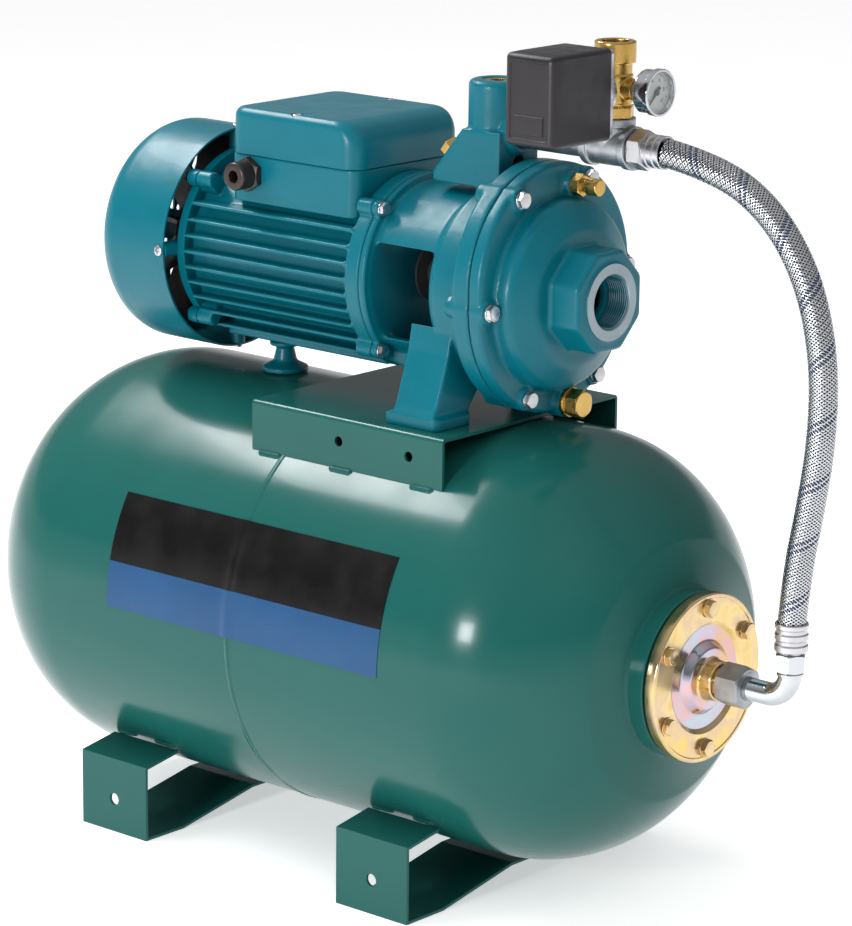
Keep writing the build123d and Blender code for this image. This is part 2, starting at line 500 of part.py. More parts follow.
save(terminal_box.part, "terminal_box")

with BuildPart() as terminal_lid:
    block((BOX_X0 - 1, -BOX_HALF_Y - 1, BOX_SEAM + 0.3), (BOX_X1 + 1, BOX_HALF_Y + 1, BOX_TOP), 16)
    fillet(terminal_lid.faces().sort_by(Axis.Z)[-1].edges(), 9)
    block((BOX_X0 + 4, -BOX_HALF_Y + 4, BOX_SEAM - 1), (BOX_X1 - 4, BOX_HALF_Y - 4, BOX_TOP - 8), 9,
          Mode.SUBTRACT)
    for post_y in (-BOX_HALF_Y + 8, BOX_HALF_Y - 8):
        rod((BOX_X, post_y, BOX_SEAM + 0.3), (BOX_X, post_y, BOX_TOP - 7), 8)
    for post_y in (-BOX_HALF_Y + 8, BOX_HALF_Y - 8):
        rod((BOX_X, post_y, BOX_SEAM), (BOX_X, post_y, BOX_TOP + 1), 2.3, Mode.SUBTRACT)
        rod((BOX_X, post_y, BOX_TOP - 5), (BOX_X, post_y, BOX_TOP + 1), 5.5, Mode.SUBTRACT)
save(terminal_lid.part, "terminal_lid")

with BuildPart() as housing_screws:
    for screw_y, screw_z in around(1.0, 4, 0):
        reach = Vector(0, screw_y, screw_z - AXIS_Z)
        seat = Vector(COVER_SCREW_X, 0, AXIS_Z) + reach * FAN_COVER_RADIUS
        rod(seat + reach * 0.05, seat + reach * 2.6, 4.6)
        rod(seat + reach * 0.05, seat - reach * 12, 2.0)
    for post_y in (-BOX_HALF_Y + 8, BOX_HALF_Y - 8):
        rod((BOX_X, post_y, BOX_TOP - 5), (BOX_X, post_y, BOX_TOP - 2), 4.6)
        rod((BOX_X, post_y, BOX_SEAM - 9), (BOX_X, post_y, BOX_TOP - 5), 2.0)
save(housing_screws.part, "housing_screws")

with BuildPart() as terminal_board:
    block((TANK_X - 90, -48, AXIS_Z + HOUSING_RADIUS + 4.2),
          (TANK_X - 20, -12, AXIS_Z + HOUSING_RADIUS + 14), 3)
    for stud_x in (-75, -55, -35):
        for stud_y in (-40, -20):
            rod((TANK_X + stud_x, stud_y, AXIS_Z + HOUSING_RADIUS + 13),
                (TANK_X + stud_x, stud_y, AXIS_Z + HOUSING_RADIUS + 24), 2.5)
save(terminal_board.part, "terminal_board")

with BuildPart() as run_capacitor:
    rod((TANK_X - 88, 26, AXIS_Z + 103), (TANK_X + 8, 26, AXIS_Z + 103), 17)
    fillet(run_capacitor.edges().filter_by(GeomType.CIRCLE), 2)
save(run_capacitor.part, "run_capacitor")

with BuildPart() as cable_gland:
    rod((GLAND_X, -BOX_HALF_Y + 7, GLAND_Z), (GLAND_X, -BOX_HALF_Y - 1, GLAND_Z), 8.0)
    hexagon((GLAND_X, -BOX_HALF_Y - 0.2, GLAND_Z), (GLAND_X, -BOX_HALF_Y - 7, GLAND_Z), 27)
    rod((GLAND_X, -BOX_HALF_Y - 6, GLAND_Z), (GLAND_X, -BOX_HALF_Y - 22, GLAND_Z), 13.5)
    fillet(cable_gland.edges().filter_by(GeomType.CIRCLE).sort_by(Axis.Y)[0], 4)
    rod((GLAND_X, -BOX_HALF_Y - 30, GLAND_Z), (GLAND_X, -BOX_HALF_Y + 10, GLAND_Z), 5.0, Mode.SUBTRACT)
save(cable_gland.part, "cable_gland")

# ---------------------------------------------------------------- pump end
COVER_BOLT_CIRCLE = 91.0


def oblong(x0, x1, radius, mode=Mode.ADD):
    """A slab of the casing's oblong outline between two stations."""
    with BuildSketch(Plane.YZ.offset(x0)) as section:
        with Locations((0, AXIS_Z + CASING_LIFT)):
            SlotCenterToCenter(CASING_SLOT, 2 * radius, rotation=90)
    extrude(section.sketch, amount=x1 - x0, mode=mode)


def cover_bolt_points():
    """The six cover bolts, on the casing's oblong."""
    for index in range(6):
        angle = math.radians(5 + 60 * index)
        lift = math.copysign(CASING_SLOT / 2, math.sin(angle)) if abs(math.sin(angle)) > 0.3 else 0.0
        bolt_y, bolt_z = COVER_BOLT_CIRCLE * math.cos(angle), COVER_BOLT_CIRCLE * math.sin(angle)
        yield bolt_y, AXIS_Z + CASING_LIFT + lift + bolt_z


NECK_SLOPE = ((TANK_X + 92, AXIS_Z + 94), (TANK_X + 124, AXIS_Z + 134))
NECK_RUN = Vector(NECK_SLOPE[1][0] - NECK_SLOPE[0][0], 0, NECK_SLOPE[1][1] - NECK_SLOPE[0][1]).normalized()
NECK_NORMAL = Vector(-NECK_RUN.Z, 0, NECK_RUN.X)
PRIMING_SEAT = Vector(TANK_X + 107, -16, AXIS_Z + 112.75)

with BuildPart() as pump_body:
    turn([(LANTERN_X1 + 0.2, 0), (LANTERN_X1 + 0.2, 86), (LANTERN_X1 + 26, 86), (LANTERN_X1 + 40, 96),
          (BODY_X1, 96), (BODY_X1, 0)],
         {1: 3, 2: 10})
    oblong(LANTERN_X1 + 36, BODY_X1, BODY_RADIUS)
    fillet(pump_body.edges().filter_by(Plane.YZ).group_by(Axis.X)[-2], 3)
    # feet and their webs
    with BuildSketch(Plane.YZ.offset(TANK_X + 116)) as legs:
        with BuildLine():
            Polyline((-78, AXIS_Z - 20), (-84, AXIS_Z - 50), (-99, AXIS_Z - 94), (-104, AXIS_Z - 102),
                     (-104, DECK_TOP), (-56, DECK_TOP), (-56, AXIS_Z - 100), (-44, AXIS_Z - 84),
                     (-20, AXIS_Z - 72), (20, AXIS_Z - 72), (44, AXIS_Z - 84), (56, AXIS_Z - 100),
                     (56, DECK_TOP), (104, DECK_TOP), (104, AXIS_Z - 102), (99, AXIS_Z - 94),
                     (84, AXIS_Z - 50), (78, AXIS_Z - 20), close=True)
        make_face()
    extrude(legs.sketch, amount=46)
    for side in (-1, 1):
        block((TANK_X + 106, min(side * 56, side * 104), DECK_TOP),
              (TANK_X + 166, max(side * 56, side * 104), DECK_TOP + 10), 6)
    turn([(LANTERN_X0 + 30, 0), (LANTERN_X0 + 30, LANTERN_RADIUS + 5),
          (LANTERN_X1 + 0.2, LANTERN_RADIUS + 5), (LANTERN_X1 + 0.2, 0)],
         mode=Mode.SUBTRACT)
    # delivery neck and boss
    with BuildSketch(Plane.XZ) as neck:
        with BuildLine():
            Polyline((TANK_X + 92, AXIS_Z + LANTERN_RADIUS + 6), NECK_SLOPE[0], NECK_SLOPE[1],
                     (TANK_X + 166, AXIS_Z + 134), (TANK_X + 166, AXIS_Z + 60),
                     (LANTERN_X1 + 0.2, AXIS_Z + 60), (LANTERN_X1 + 0.2, AXIS_Z + LANTERN_RADIUS + 6),
                     close=True)
        make_face()
    extrude(neck.sketch, amount=26, both=True)
    rod((BOSS_X, 0, AXIS_Z + 100), (BOSS_X, 0, BOSS_TOP), BOSS_RADIUS)
    fillet(pump_body.edges().filter_by(GeomType.CIRCLE).sort_by(Axis.Z)[-1], 5)
    rod((BOSS_X, 0, TEE_Z), (BOSS_X + 30, 0, TEE_Z), 19)
    # lugs for the cover bolts and bosses for the plugs
    for bolt_y, bolt_z in cover_bolt_points():
        rod((BODY_X1 - 26, bolt_y, bolt_z), (BODY_X1, bolt_y, bolt_z), 10)
    # wet passages
    turn([(TANK_X + 165, 0), (TANK_X + 165, 86), (BODY_X1 + 1, 86), (BODY_X1 + 1, 0)], {1: 8},
         Mode.SUBTRACT)
    rod((TANK_X + 172, 0, AXIS_Z + 80), (BOSS_X, 0, TEE_Z), 11, Mode.SUBTRACT)
    rod((BOSS_X, 0, TEE_Z), (BOSS_X, 0, BOSS_TOP - 14), 11, Mode.SUBTRACT)
    rod((BOSS_X, 0, BOSS_TOP - 14), (BOSS_X, 0, BOSS_TOP + 1), NIPPLE_RADIUS + FIT_GAP, Mode.SUBTRACT)
    rod((BOSS_X, 0, TEE_Z), (BOSS_X + 31, 0, TEE_Z), 11, Mode.SUBTRACT)
    rod((BOSS_X + 14, 0, TEE_Z), (BOSS_X + 31, 0, TEE_Z), NIPPLE_RADIUS + FIT_GAP, Mode.SUBTRACT)
    turn([(LANTERN_X1 - 5, 0), (LANTERN_X1 - 5, 12), (TANK_X + 150, 12), (TANK_X + 150, 19),
          (TANK_X + 166, 19), (TANK_X + 166, 0)],
         mode=Mode.SUBTRACT)
    rod(PRIMING_SEAT + NECK_NORMAL * 2, PRIMING_SEAT - NECK_NORMAL * 14, 6.52, Mode.SUBTRACT)
    for bolt_y, bolt_z in cover_bolt_points():
        rod((BODY_X1 - 22, bolt_y, bolt_z), (BODY_X1 + 1, bolt_y, bolt_z), 4.0 + FIT_GAP, Mode.SUBTRACT)
    for hole_y in (-PAD_BOLT_Y, PAD_BOLT_Y):
        rod((PAD_BOLT_X, hole_y, DECK_TOP - 1), (PAD_BOLT_X, hole_y, DECK_TOP + 12), 5.5, Mode.SUBTRACT)
        rod((PAD_BOLT_X, hole_y, DECK_TOP + 10), (PAD_BOLT_X, hole_y, DECK_TOP + 34), 11.5, Mode.SUBTRACT)
save(pump_body.part, "pump_body")

GASKET = 1.0
COVER_X0 = BODY_X1 + GASKET
VENT_Y, VENT_Z = 16.0, AXIS_Z + 92.0
DRAIN_Y, DRAIN_Z = 12.0, AXIS_Z - 96.0

with BuildPart() as cover_gasket:
    oblong(BODY_X1 + 0.01, COVER_X0 - 0.01, BODY_RADIUS - 2)
    rod((BODY_X1 - 1, 0, AXIS_Z), (COVER_X0 + 1, 0, AXIS_Z), 86.2, Mode.SUBTRACT)
    for bolt_y, bolt_z in cover_bolt_points():
        rod((BODY_X1 - 1, bolt_y, bolt_z), (COVER_X0 + 1, bolt_y, bolt_z), 4.6, Mode.SUBTRACT)
save(cover_gasket.part, "cover_gasket")

with BuildPart() as pump_cover:
    oblong(COVER_X0, COVER_FLANGE_X1, BODY_RADIUS)
    fillet(pump_cover.edges().filter_by(Plane.YZ).group_by(Axis.X)[-1], 4)
    turn([(COVER_X0, 0), (COVER_X0, 83), (COVER_FLANGE_X1, 83), (COVER_FLANGE_X1 + 15, 82),
          (COVER_FLANGE_X1 + 27, 58), (COVER_FLANGE_X1 + 30, 0)],
         {3: 9, 4: 20})
    for bolt_y, bolt_z in cover_bolt_points():
        rod((COVER_X0, bolt_y, bolt_z), (COVER_FLANGE_X1 + 3, bolt_y, bolt_z), 10)
    rod((COVER_X0, VENT_Y, VENT_Z), (COVER_FLANGE_X1 + 6, VENT_Y, VENT_Z), 11)
    rod((COVER_X0, DRAIN_Y, DRAIN_Z), (COVER_FLANGE_X1 + 6, DRAIN_Y, DRAIN_Z), 14)
    with BuildSketch(Plane.YZ.offset(COVER_FLANGE_X1 + 18)) as suction_boss:
        with Locations((0, AXIS_Z)):
            RegularPolygon(43, 8, major_radius=False, rotation=22.5)
        fillet(suction_boss.vertices(), 8)
    extrude(suction_boss.sketch, amount=SUCTION_FACE - 2 - COVER_FLANGE_X1 - 18)
    fillet(pump_cover.faces().sort_by(Axis.X)[-1].edges(), 3)
    turn([(SUCTION_FACE - 4, 0), (SUCTION_FACE - 4, 33), (SUCTION_FACE, 33), (SUCTION_FACE, 0)], {2: 0.8})
    # wet passages
    turn([(COVER_X0 - 1, 0), (COVER_X0 - 1, 80), (TANK_X + 224, 77), (TANK_X + 231, 40), (TANK_X + 240, 20),
          (SUCTION_FACE - 24, 20), (SUCTION_FACE - 24, SUCTION_MINOR), (SUCTION_FACE - 1.5, SUCTION_MINOR),
          (SUCTION_FACE, SUCTION_MINOR + 1.5), (SUCTION_FACE + 1, SUCTION_MINOR + 1.5),
          (SUCTION_FACE + 1, 0)],
         mode=Mode.SUBTRACT)
    for plug_y, plug_z, inward in ((VENT_Y, VENT_Z, -14), (DRAIN_Y, DRAIN_Z, 14)):
        rod((COVER_FLANGE_X1 - 5, plug_y, plug_z), (COVER_FLANGE_X1 + 7, plug_y, plug_z), 6.52,
            Mode.SUBTRACT)
        rod((COVER_FLANGE_X1 - 4, plug_y, plug_z), (COVER_FLANGE_X1 - 4, plug_y, plug_z + inward), 2.5,
            Mode.SUBTRACT)
    for bolt_y, bolt_z in cover_bolt_points():
        rod((COVER_X0 - 1, bolt_y, bolt_z), (COVER_FLANGE_X1 + 5, bolt_y, bolt_z), 4.5, Mode.SUBTRACT)
save(pump_cover.part, "pump_cover")

with BuildPart() as cover_bolts:
    for bolt_y, bolt_z in cover_bolt_points():
        hex_bolt((COVER_FLANGE_X1 + 3, bolt_y, bolt_z), ROW_X, 4.0, 36, 13.0, 5.5)
save(cover_bolts.part, "cover_bolts")

with BuildPart() as stage_diffuser:
    turn([(TANK_X + 189, 14), (TANK_X + 189, 76), (TANK_X + 186, 79), (TANK_X + 186, 85.7),
          (TANK_X + 195.9, 85.7), (TANK_X + 195.9, 78), (TANK_X + 206, 78), (TANK_X + 206, 76),
          (TANK_X + 203, 74), (TANK_X + 203, 14)])
    for vane in range(8):
        with BuildSketch(Plane(origin=(TANK_X + 196, 0, AXIS_Z),
                               x_dir=(0, math.cos(vane * math.tau / 8), math.sin(vane * math.tau / 8)),
                               z_dir=(1, 0, 0))) as return_channel:
            with Locations((46, 0)):
                SlotOverall(42, 7)
        extrude(return_channel.sketch, amount=5, both=True, mode=Mode.SUBTRACT)
save(stage_diffuser.part, "stage_diffuser")


def impeller(back_x, facing):
    """A closed impeller: hub, two shrouds and curved vanes, its eye facing along facing * X."""
    turn([(back_x, 9.01), (back_x, 74), (back_x + facing * 2.5, 74), (back_x + facing * 4, 20),
          (back_x + facing * 15, 14), (back_x + facing * 15, 9.01)])
    turn([(back_x + facing * 8.5, 74), (back_x + facing * 10.5, 74), (back_x + facing * 13, 27),
          (back_x + facing * 16, 27), (back_x + facing * 16, 24), (back_x + facing * 11, 24)])
    for vane in range(6):
        turn_angle = 60.0 * vane
        with BuildSketch(Plane(origin=(back_x, 0, AXIS_Z), x_dir=(0, 1, 0),
                               z_dir=(facing, 0, 0))) as vane_section:
            with BuildLine(Rotation(0, 0, turn_angle)):
                RadiusArc((25, 0), (60, 45), 55)
                RadiusArc((60, 45), (57.5, 47.5), 60)
                RadiusArc((57.5, 47.5), (22, 2), -54)
                Line((22, 2), (25, 0))
            make_face()
        extrude(vane_section.sketch, amount=9.5)


with BuildPart() as impeller_second:
    impeller(TANK_X + 185, -1)
save(impeller_second.part, "impeller_second")

with BuildPart() as impeller_first:
    impeller(TANK_X + 209, 1)
    turn([(TANK_X + 185.1, 9.01), (TANK_X + 185.1, 13.9), (TANK_X + 210, 13.9), (TANK_X + 210, 9.01)])
save(impeller_first.part, "impeller_first")

with BuildPart() as impeller_nut:
    hexagon((TANK_X + 226.2, 0, AXIS_Z), (TANK_X + 237, 0, AXIS_Z), 22)
    rod((TANK_X + 226, 0, AXIS_Z), (TANK_X + 238, 0, AXIS_Z), 7.02, Mode.SUBTRACT)
save(impeller_nut.part, "impeller_nut")

with BuildPart() as seal_stationary:
    turn([(TANK_X + 151, 10), (TANK_X + 151, 18.97), (TANK_X + 157, 18.97), (TANK_X + 157, 10)])
save(seal_stationary.part, "seal_stationary")

with BuildPart() as seal_rotating:
    turn([(TANK_X + 157.1, 9.02), (TANK_X + 157.1, 15), (TANK_X + 161, 15), (TANK_X + 161, 17),
          (TANK_X + 168.5, 17), (TANK_X + 168.5, 9.02)])
save(seal_rotating.part, "seal_rotating")

PLUG_SEAT_X = COVER_FLANGE_X1 + 6
with BuildPart() as vent_plug:
    rod((PLUG_SEAT_X - 9, VENT_Y, VENT_Z), (PLUG_SEAT_X + 1, VENT_Y, VENT_Z), 6.5)
    hexagon((PLUG_SEAT_X + 0.1, VENT_Y, VENT_Z), (PLUG_SEAT_X + 9, VENT_Y, VENT_Z), 17)
    rod((PLUG_SEAT_X + 8, VENT_Y, VENT_Z), (PLUG_SEAT_X + 15, VENT_Y, VENT_Z), 6.0)
    rod((PLUG_SEAT_X + 14, VENT_Y, VENT_Z), (PLUG_SEAT_X + 27, VENT_Y, VENT_Z), 7.5)
    fillet(vent_plug.edges().filter_by(GeomType.CIRCLE).sort_by(Axis.X)[-1], 1.2)
save(vent_plug.part, "vent_plug")

with BuildPart() as drain_plug:
    rod((PLUG_SEAT_X - 9, DRAIN_Y, DRAIN_Z), (PLUG_SEAT_X + 1, DRAIN_Y, DRAIN_Z), 6.5)
    rod((PLUG_SEAT_X + 0.1, DRAIN_Y, DRAIN_Z), (PLUG_SEAT_X + 4, DRAIN_Y, DRAIN_Z), 13.5)
    hexagon((PLUG_SEAT_X + 3, DRAIN_Y, DRAIN_Z), (PLUG_SEAT_X + 17, DRAIN_Y, DRAIN_Z), 22)
    chamfer(drain_plug.faces().sort_by(Axis.X)[-1].edges(), 1.0)
save(drain_plug.part, "drain_plug")

# ---------------------------------------------------------------- manifold
TEE_REACH = 24.0
TEE_BEAD = 18.5

with BuildPart() as delivery_nipple:
    rod((BOSS_X + 16, 0, TEE_Z), (MANIFOLD_X - TEE_REACH + 12, 0, TEE_Z), NIPPLE_RADIUS)
    rod((BOSS_X + 15, 0, TEE_Z), (MANIFOLD_X, 0, TEE_Z), 10, Mode.SUBTRACT)
save(delivery_nipple.part, "delivery_nipple")

with BuildPart() as manifold_tee:
    rod((MANIFOLD_X - TEE_REACH, 0, TEE_Z), (MANIFOLD_X + TEE_REACH, 0, TEE_Z), 16.5)
    rod((MANIFOLD_X, 0, TEE_Z), (MANIFOLD_X, 0, TEE_Z + TEE_REACH), 16.5)
    tee_centre = Vector(MANIFOLD_X, 0, TEE_Z)
    for port_run in (ROW_X, -ROW_X, ROW_Z):
        rod(tee_centre + port_run * (TEE_REACH - 7), tee_centre + port_run * TEE_REACH, TEE_BEAD)
    for port_run in (ROW_X, -ROW_X, ROW_Z):
        rod(tee_centre + port_run * (TEE_REACH - 13), tee_centre + port_run * (TEE_REACH + 1),
            NIPPLE_RADIUS + FIT_GAP, Mode.SUBTRACT)
        rod(tee_centre, tee_centre + port_run * (TEE_REACH + 1), 10.5, Mode.SUBTRACT)
save(manifold_tee.part, "manifold_tee")

FIVE_WAY_Z0 = TEE_Z + TEE_REACH - 12
with BuildPart() as five_way:
    rod((MANIFOLD_X, 0, FIVE_WAY_Z0), (MANIFOLD_X, 0, TEE_Z + TEE_REACH + 3), NIPPLE_RADIUS)
    hexagon((MANIFOLD_X, 0, TEE_Z + TEE_REACH + 0.2), (MANIFOLD_X, 0, TEE_Z + TEE_REACH + 10), 31)
    rod((MANIFOLD_X, 0, TEE_Z + TEE_REACH + 9), (MANIFOLD_X, 0, FIVE_WAY_TOP - 14), 14.5)
    rod((MANIFOLD_X, 0, FIVE_WAY_TOP - 18), (MANIFOLD_X, 0, FIVE_WAY_TOP), 17.5)
    fillet(five_way.edges().filter_by(GeomType.CIRCLE).group_by(Axis.Z)[-1], 1.5)
    rod((MANIFOLD_X, 0, CROSS_Z), (MANIFOLD_X - 24, 0, CROSS_Z), 12)
    rod((MANIFOLD_X, 0, CROSS_Z), (MANIFOLD_X + 23, 0, CROSS_Z), 9)
    rod((MANIFOLD_X, 0, CROSS_Z), (MANIFOLD_X, -19, CROSS_Z), 9)
    rod((MANIFOLD_X, 0, CROSS_Z - 12), (MANIFOLD_X, 0, CROSS_Z + 11), 15.5)
    rod((MANIFOLD_X, 0, FIVE_WAY_Z0 - 1), (MANIFOLD_X, 0, FIVE_WAY_TOP - 10), 9, Mode.SUBTRACT)
    rod((MANIFOLD_X, 0, FIVE_WAY_TOP - 17), (MANIFOLD_X, 0, FIVE_WAY_TOP + 1), PORT_MINOR, Mode.SUBTRACT)
    rod((MANIFOLD_X, 0, CROSS_Z), (MANIFOLD_X - 25, 0, CROSS_Z), 6.6 + FIT_GAP, Mode.SUBTRACT)
    rod((MANIFOLD_X, 0, CROSS_Z), (MANIFOLD_X + 25, 0, CROSS_Z), 4.9 + FIT_GAP, Mode.SUBTRACT)
    rod((MANIFOLD_X, 0, CROSS_Z), (MANIFOLD_X, -20, CROSS_Z), 6.6 + FIT_GAP, Mode.SUBTRACT)
save(five_way.part, "five_way")

with BuildPart() as blanking_plugs:
    hexagon(PRIMING_SEAT + NECK_NORMAL * 0.2, PRIMING_SEAT + NECK_NORMAL * 6.5, 17)
    rod(PRIMING_SEAT + NECK_NORMAL * 0.2, PRIMING_SEAT - NECK_NORMAL * 10, 6.5)
    rod((BOSS_X, 0, BOSS_TOP - 13), (BOSS_X, 0, BOSS_TOP - 1), NIPPLE_RADIUS)
    hexagon((BOSS_X, 0, BOSS_TOP - 9), (BOSS_X, 0, BOSS_TOP), 12, Mode.SUBTRACT)
    rod((MANIFOLD_X - 14, 0, CROSS_Z), (MANIFOLD_X - 24, 0, CROSS_Z), 6.6)
    hexagon((MANIFOLD_X - 24.1, 0, CROSS_Z), (MANIFOLD_X - 31, 0, CROSS_Z), 19)
save(blanking_plugs.part, "blanking_plugs")

GAUGE_BACK = MANIFOLD_X + 32.0
GAUGE_FACE = GAUGE_BACK + 17.0
GAUGE_RADIUS = 20.0

with BuildPart() as gauge_case:
    turn([(GAUGE_BACK, 0), (GAUGE_BACK, GAUGE_RADIUS - 1.5), (GAUGE_FACE - 5, GAUGE_RADIUS - 1.5),
          (GAUGE_FACE - 5, GAUGE_RADIUS), (GAUGE_FACE, GAUGE_RADIUS), (GAUGE_FACE, GAUGE_RADIUS - 2.5),
          (GAUGE_BACK + 2, GAUGE_RADIUS - 2.5), (GAUGE_BACK + 2, 0)],
         {1: 2, 4: 1}, plane=Plane(origin=(0, 0, CROSS_Z), x_dir=(1, 0, 0), z_dir=(0, -1, 0)),
         axis=Axis((0, 0, CROSS_Z), (1, 0, 0)))
    rod((MANIFOLD_X + 12, 0, CROSS_Z), (GAUGE_BACK + 1, 0, CROSS_Z), 4.9)
    hexagon((MANIFOLD_X + 23.2, 0, CROSS_Z), (GAUGE_BACK, 0, CROSS_Z), 14)
save(gauge_case.part, "gauge_case")

with BuildPart() as gauge_dial:
    rod((GAUGE_FACE - 8, 0, CROSS_Z), (GAUGE_FACE - 7, 0, CROSS_Z), GAUGE_RADIUS - 2.6)
    rod((GAUGE_BACK + 2, 0, CROSS_Z), (GAUGE_FACE - 8, 0, CROSS_Z), 6)
    rod((GAUGE_BACK, 0, CROSS_Z), (GAUGE_FACE, 0, CROSS_Z), 1.0 + RUN_GAP, Mode.SUBTRACT)
save(gauge_dial.part, "gauge_dial")

ZERO_ANGLE = math.radians(225)   # the pointer's zero, counted from +Y towards +Z
with BuildPart() as gauge_pointer:
    rod((GAUGE_FACE - 12, 0, CROSS_Z), (GAUGE_FACE - 4.5, 0, CROSS_Z), 1.0)
    rod((GAUGE_FACE - 6, 0, CROSS_Z), (GAUGE_FACE - 4.6, 0, CROSS_Z), 2.5)
    with BuildSketch(Plane(origin=(GAUGE_FACE - 6, 0, CROSS_Z),
                           x_dir=(0, math.cos(ZERO_ANGLE), math.sin(ZERO_ANGLE)),
                           z_dir=(1, 0, 0))) as needle:
        with BuildLine():
            Polyline((-6, -1.4), (-6, 1.4), (14, 0.3), (14, -0.3), close=True)
        make_face()
    extrude(needle.sketch, amount=0.8)
save(gauge_pointer.part, "gauge_pointer")

with BuildPart() as gauge_lens:
    rod((GAUGE_FACE - 3.5, 0, CROSS_Z), (GAUGE_FACE - 1.5, 0, CROSS_Z), GAUGE_RADIUS - 2.6)
save(gauge_lens.part, "gauge_lens")

# ---------------------------------------------------------------- pressure switch
SWITCH_Z = CROSS_Z
SWITCH_BACK = -36.0
SWITCH_FRONT = -112.0
SWITCH_HALF_X, SWITCH_HALF_Z = 25.0, 37.0
SWITCH_X = MANIFOLD_X
PIVOT_Y, PIVOT_Z = SWITCH_BACK - 17.0, SWITCH_Z - 9.0

with BuildPart() as switch_base:
    hexagon((SWITCH_X, -19.2, SWITCH_Z), (SWITCH_X, -26, SWITCH_Z), 19)
    rod((SWITCH_X, -10, SWITCH_Z), (SWITCH_X, -20, SWITCH_Z), 6.6)
    rod((SWITCH_X, -25.5, SWITCH_Z), (SWITCH_X, SWITCH_BACK + 3, SWITCH_Z), 23)
    with BuildSketch(Plane.XZ.offset(-SWITCH_BACK - 3)) as base_plate:
        with Locations((SWITCH_X, SWITCH_Z)):
            RectangleRounded(2 * SWITCH_HALF_X, 2 * SWITCH_HALF_Z, 4)
    extrude(base_plate.sketch, amount=3.5)
    rod((SWITCH_X, -5, SWITCH_Z), (SWITCH_X, SWITCH_BACK + 4, SWITCH_Z), 3.5, Mode.SUBTRACT)
    rod((SWITCH_X, SWITCH_BACK, SWITCH_Z), (SWITCH_X, SWITCH_BACK - 8.5, SWITCH_Z), 5)
    for side in (-1, 1):
        ear_x = SWITCH_X + side * 16
        block((ear_x - 2, SWITCH_BACK - 22, SWITCH_Z - 14), (ear_x + 2, SWITCH_BACK, SWITCH_Z - 4))
        rod((ear_x - 3, PIVOT_Y, PIVOT_Z), (ear_x + 3, PIVOT_Y, PIVOT_Z), 1.5 + RUN_GAP, Mode.SUBTRACT)
save(switch_base.part, "switch_base")

with BuildPart() as switch_rocker:
    block((SWITCH_X - 12, SWITCH_BACK - 13, SWITCH_Z - 14),
          (SWITCH_X + 12, SWITCH_BACK - 10, SWITCH_Z + 26))
    rod((SWITCH_X - 19, PIVOT_Y, PIVOT_Z), (SWITCH_X + 19, PIVOT_Y, PIVOT_Z), 1.5)
    for side in (-1, 1):
        tab_x = SWITCH_X + side * 11
        block((tab_x - 1, SWITCH_BACK - 20, SWITCH_Z - 13), (tab_x + 1, SWITCH_BACK - 12, SWITCH_Z - 5))
save(switch_rocker.part, "switch_rocker")

with BuildPart() as switch_spring:
    rod((SWITCH_X, SWITCH_BACK - 20, SWITCH_Z + 19), (SWITCH_X, SWITCH_FRONT + 16, SWITCH_Z + 19), 6.5)
    rod((SWITCH_X, SWITCH_BACK - 19, SWITCH_Z + 19), (SWITCH_X, SWITCH_FRONT + 10, SWITCH_Z + 19), 4.5,
        Mode.SUBTRACT)
    rod((SWITCH_X, SWITCH_BACK - 22, SWITCH_Z + 19), (SWITCH_X, SWITCH_FRONT + 12, SWITCH_Z + 19), 2.0)
save(switch_spring.part, "switch_spring")

with BuildPart() as switch_cover:
    with BuildSketch(Plane.XZ.offset(-SWITCH_BACK + 0.8)) as cover_section:
        with Locations((SWITCH_X, SWITCH_Z)):
            RectangleRounded(2 * SWITCH_HALF_X + 2, 2 * SWITCH_HALF_Z + 2, 4)
    extrude(cover_section.sketch, amount=SWITCH_BACK - SWITCH_FRONT - 0.8)
    chamfer(switch_cover.faces().sort_by(Axis.Y)[0].edges(), 3)
    with BuildSketch(Plane.XZ.offset(-SWITCH_BACK + 0.7)) as cover_hollow:
        with Locations((SWITCH_X, SWITCH_Z)):
            RectangleRounded(2 * SWITCH_HALF_X - 3, 2 * SWITCH_HALF_Z - 3, 2.5)
    extrude(cover_hollow.sketch, amount=SWITCH_BACK - SWITCH_FRONT - 4, mode=Mode.SUBTRACT)
    for gland_z in (-17, 17):
        rod((SWITCH_X - 60, SWITCH_BACK - 30, SWITCH_Z + gland_z),
            (SWITCH_X, SWITCH_BACK - 30, SWITCH_Z + gland_z), 7.05, Mode.SUBTRACT)
save(switch_cover.part, "switch_cover")

with BuildPart() as switch_glands:
    for gland_z in (-17, 17):
        gland_y = SWITCH_BACK - 30
        rod((SWITCH_X - 18, gland_y, SWITCH_Z + gland_z), (SWITCH_X - 27, gland_y, SWITCH_Z + gland_z), 7.0)
        hexagon((SWITCH_X - 26.2, gland_y, SWITCH_Z + gland_z),
                (SWITCH_X - 31, gland_y, SWITCH_Z + gland_z), 19)
        rod((SWITCH_X - 30.5, gland_y, SWITCH_Z + gland_z), (SWITCH_X - 38, gland_y, SWITCH_Z + gland_z),
            8.8)
        rod((SWITCH_X - 10, gland_y, SWITCH_Z + gland_z), (SWITCH_X - 40, gland_y, SWITCH_Z + gland_z), 4.0,
            Mode.SUBTRACT)
save(switch_glands.part, "switch_glands")

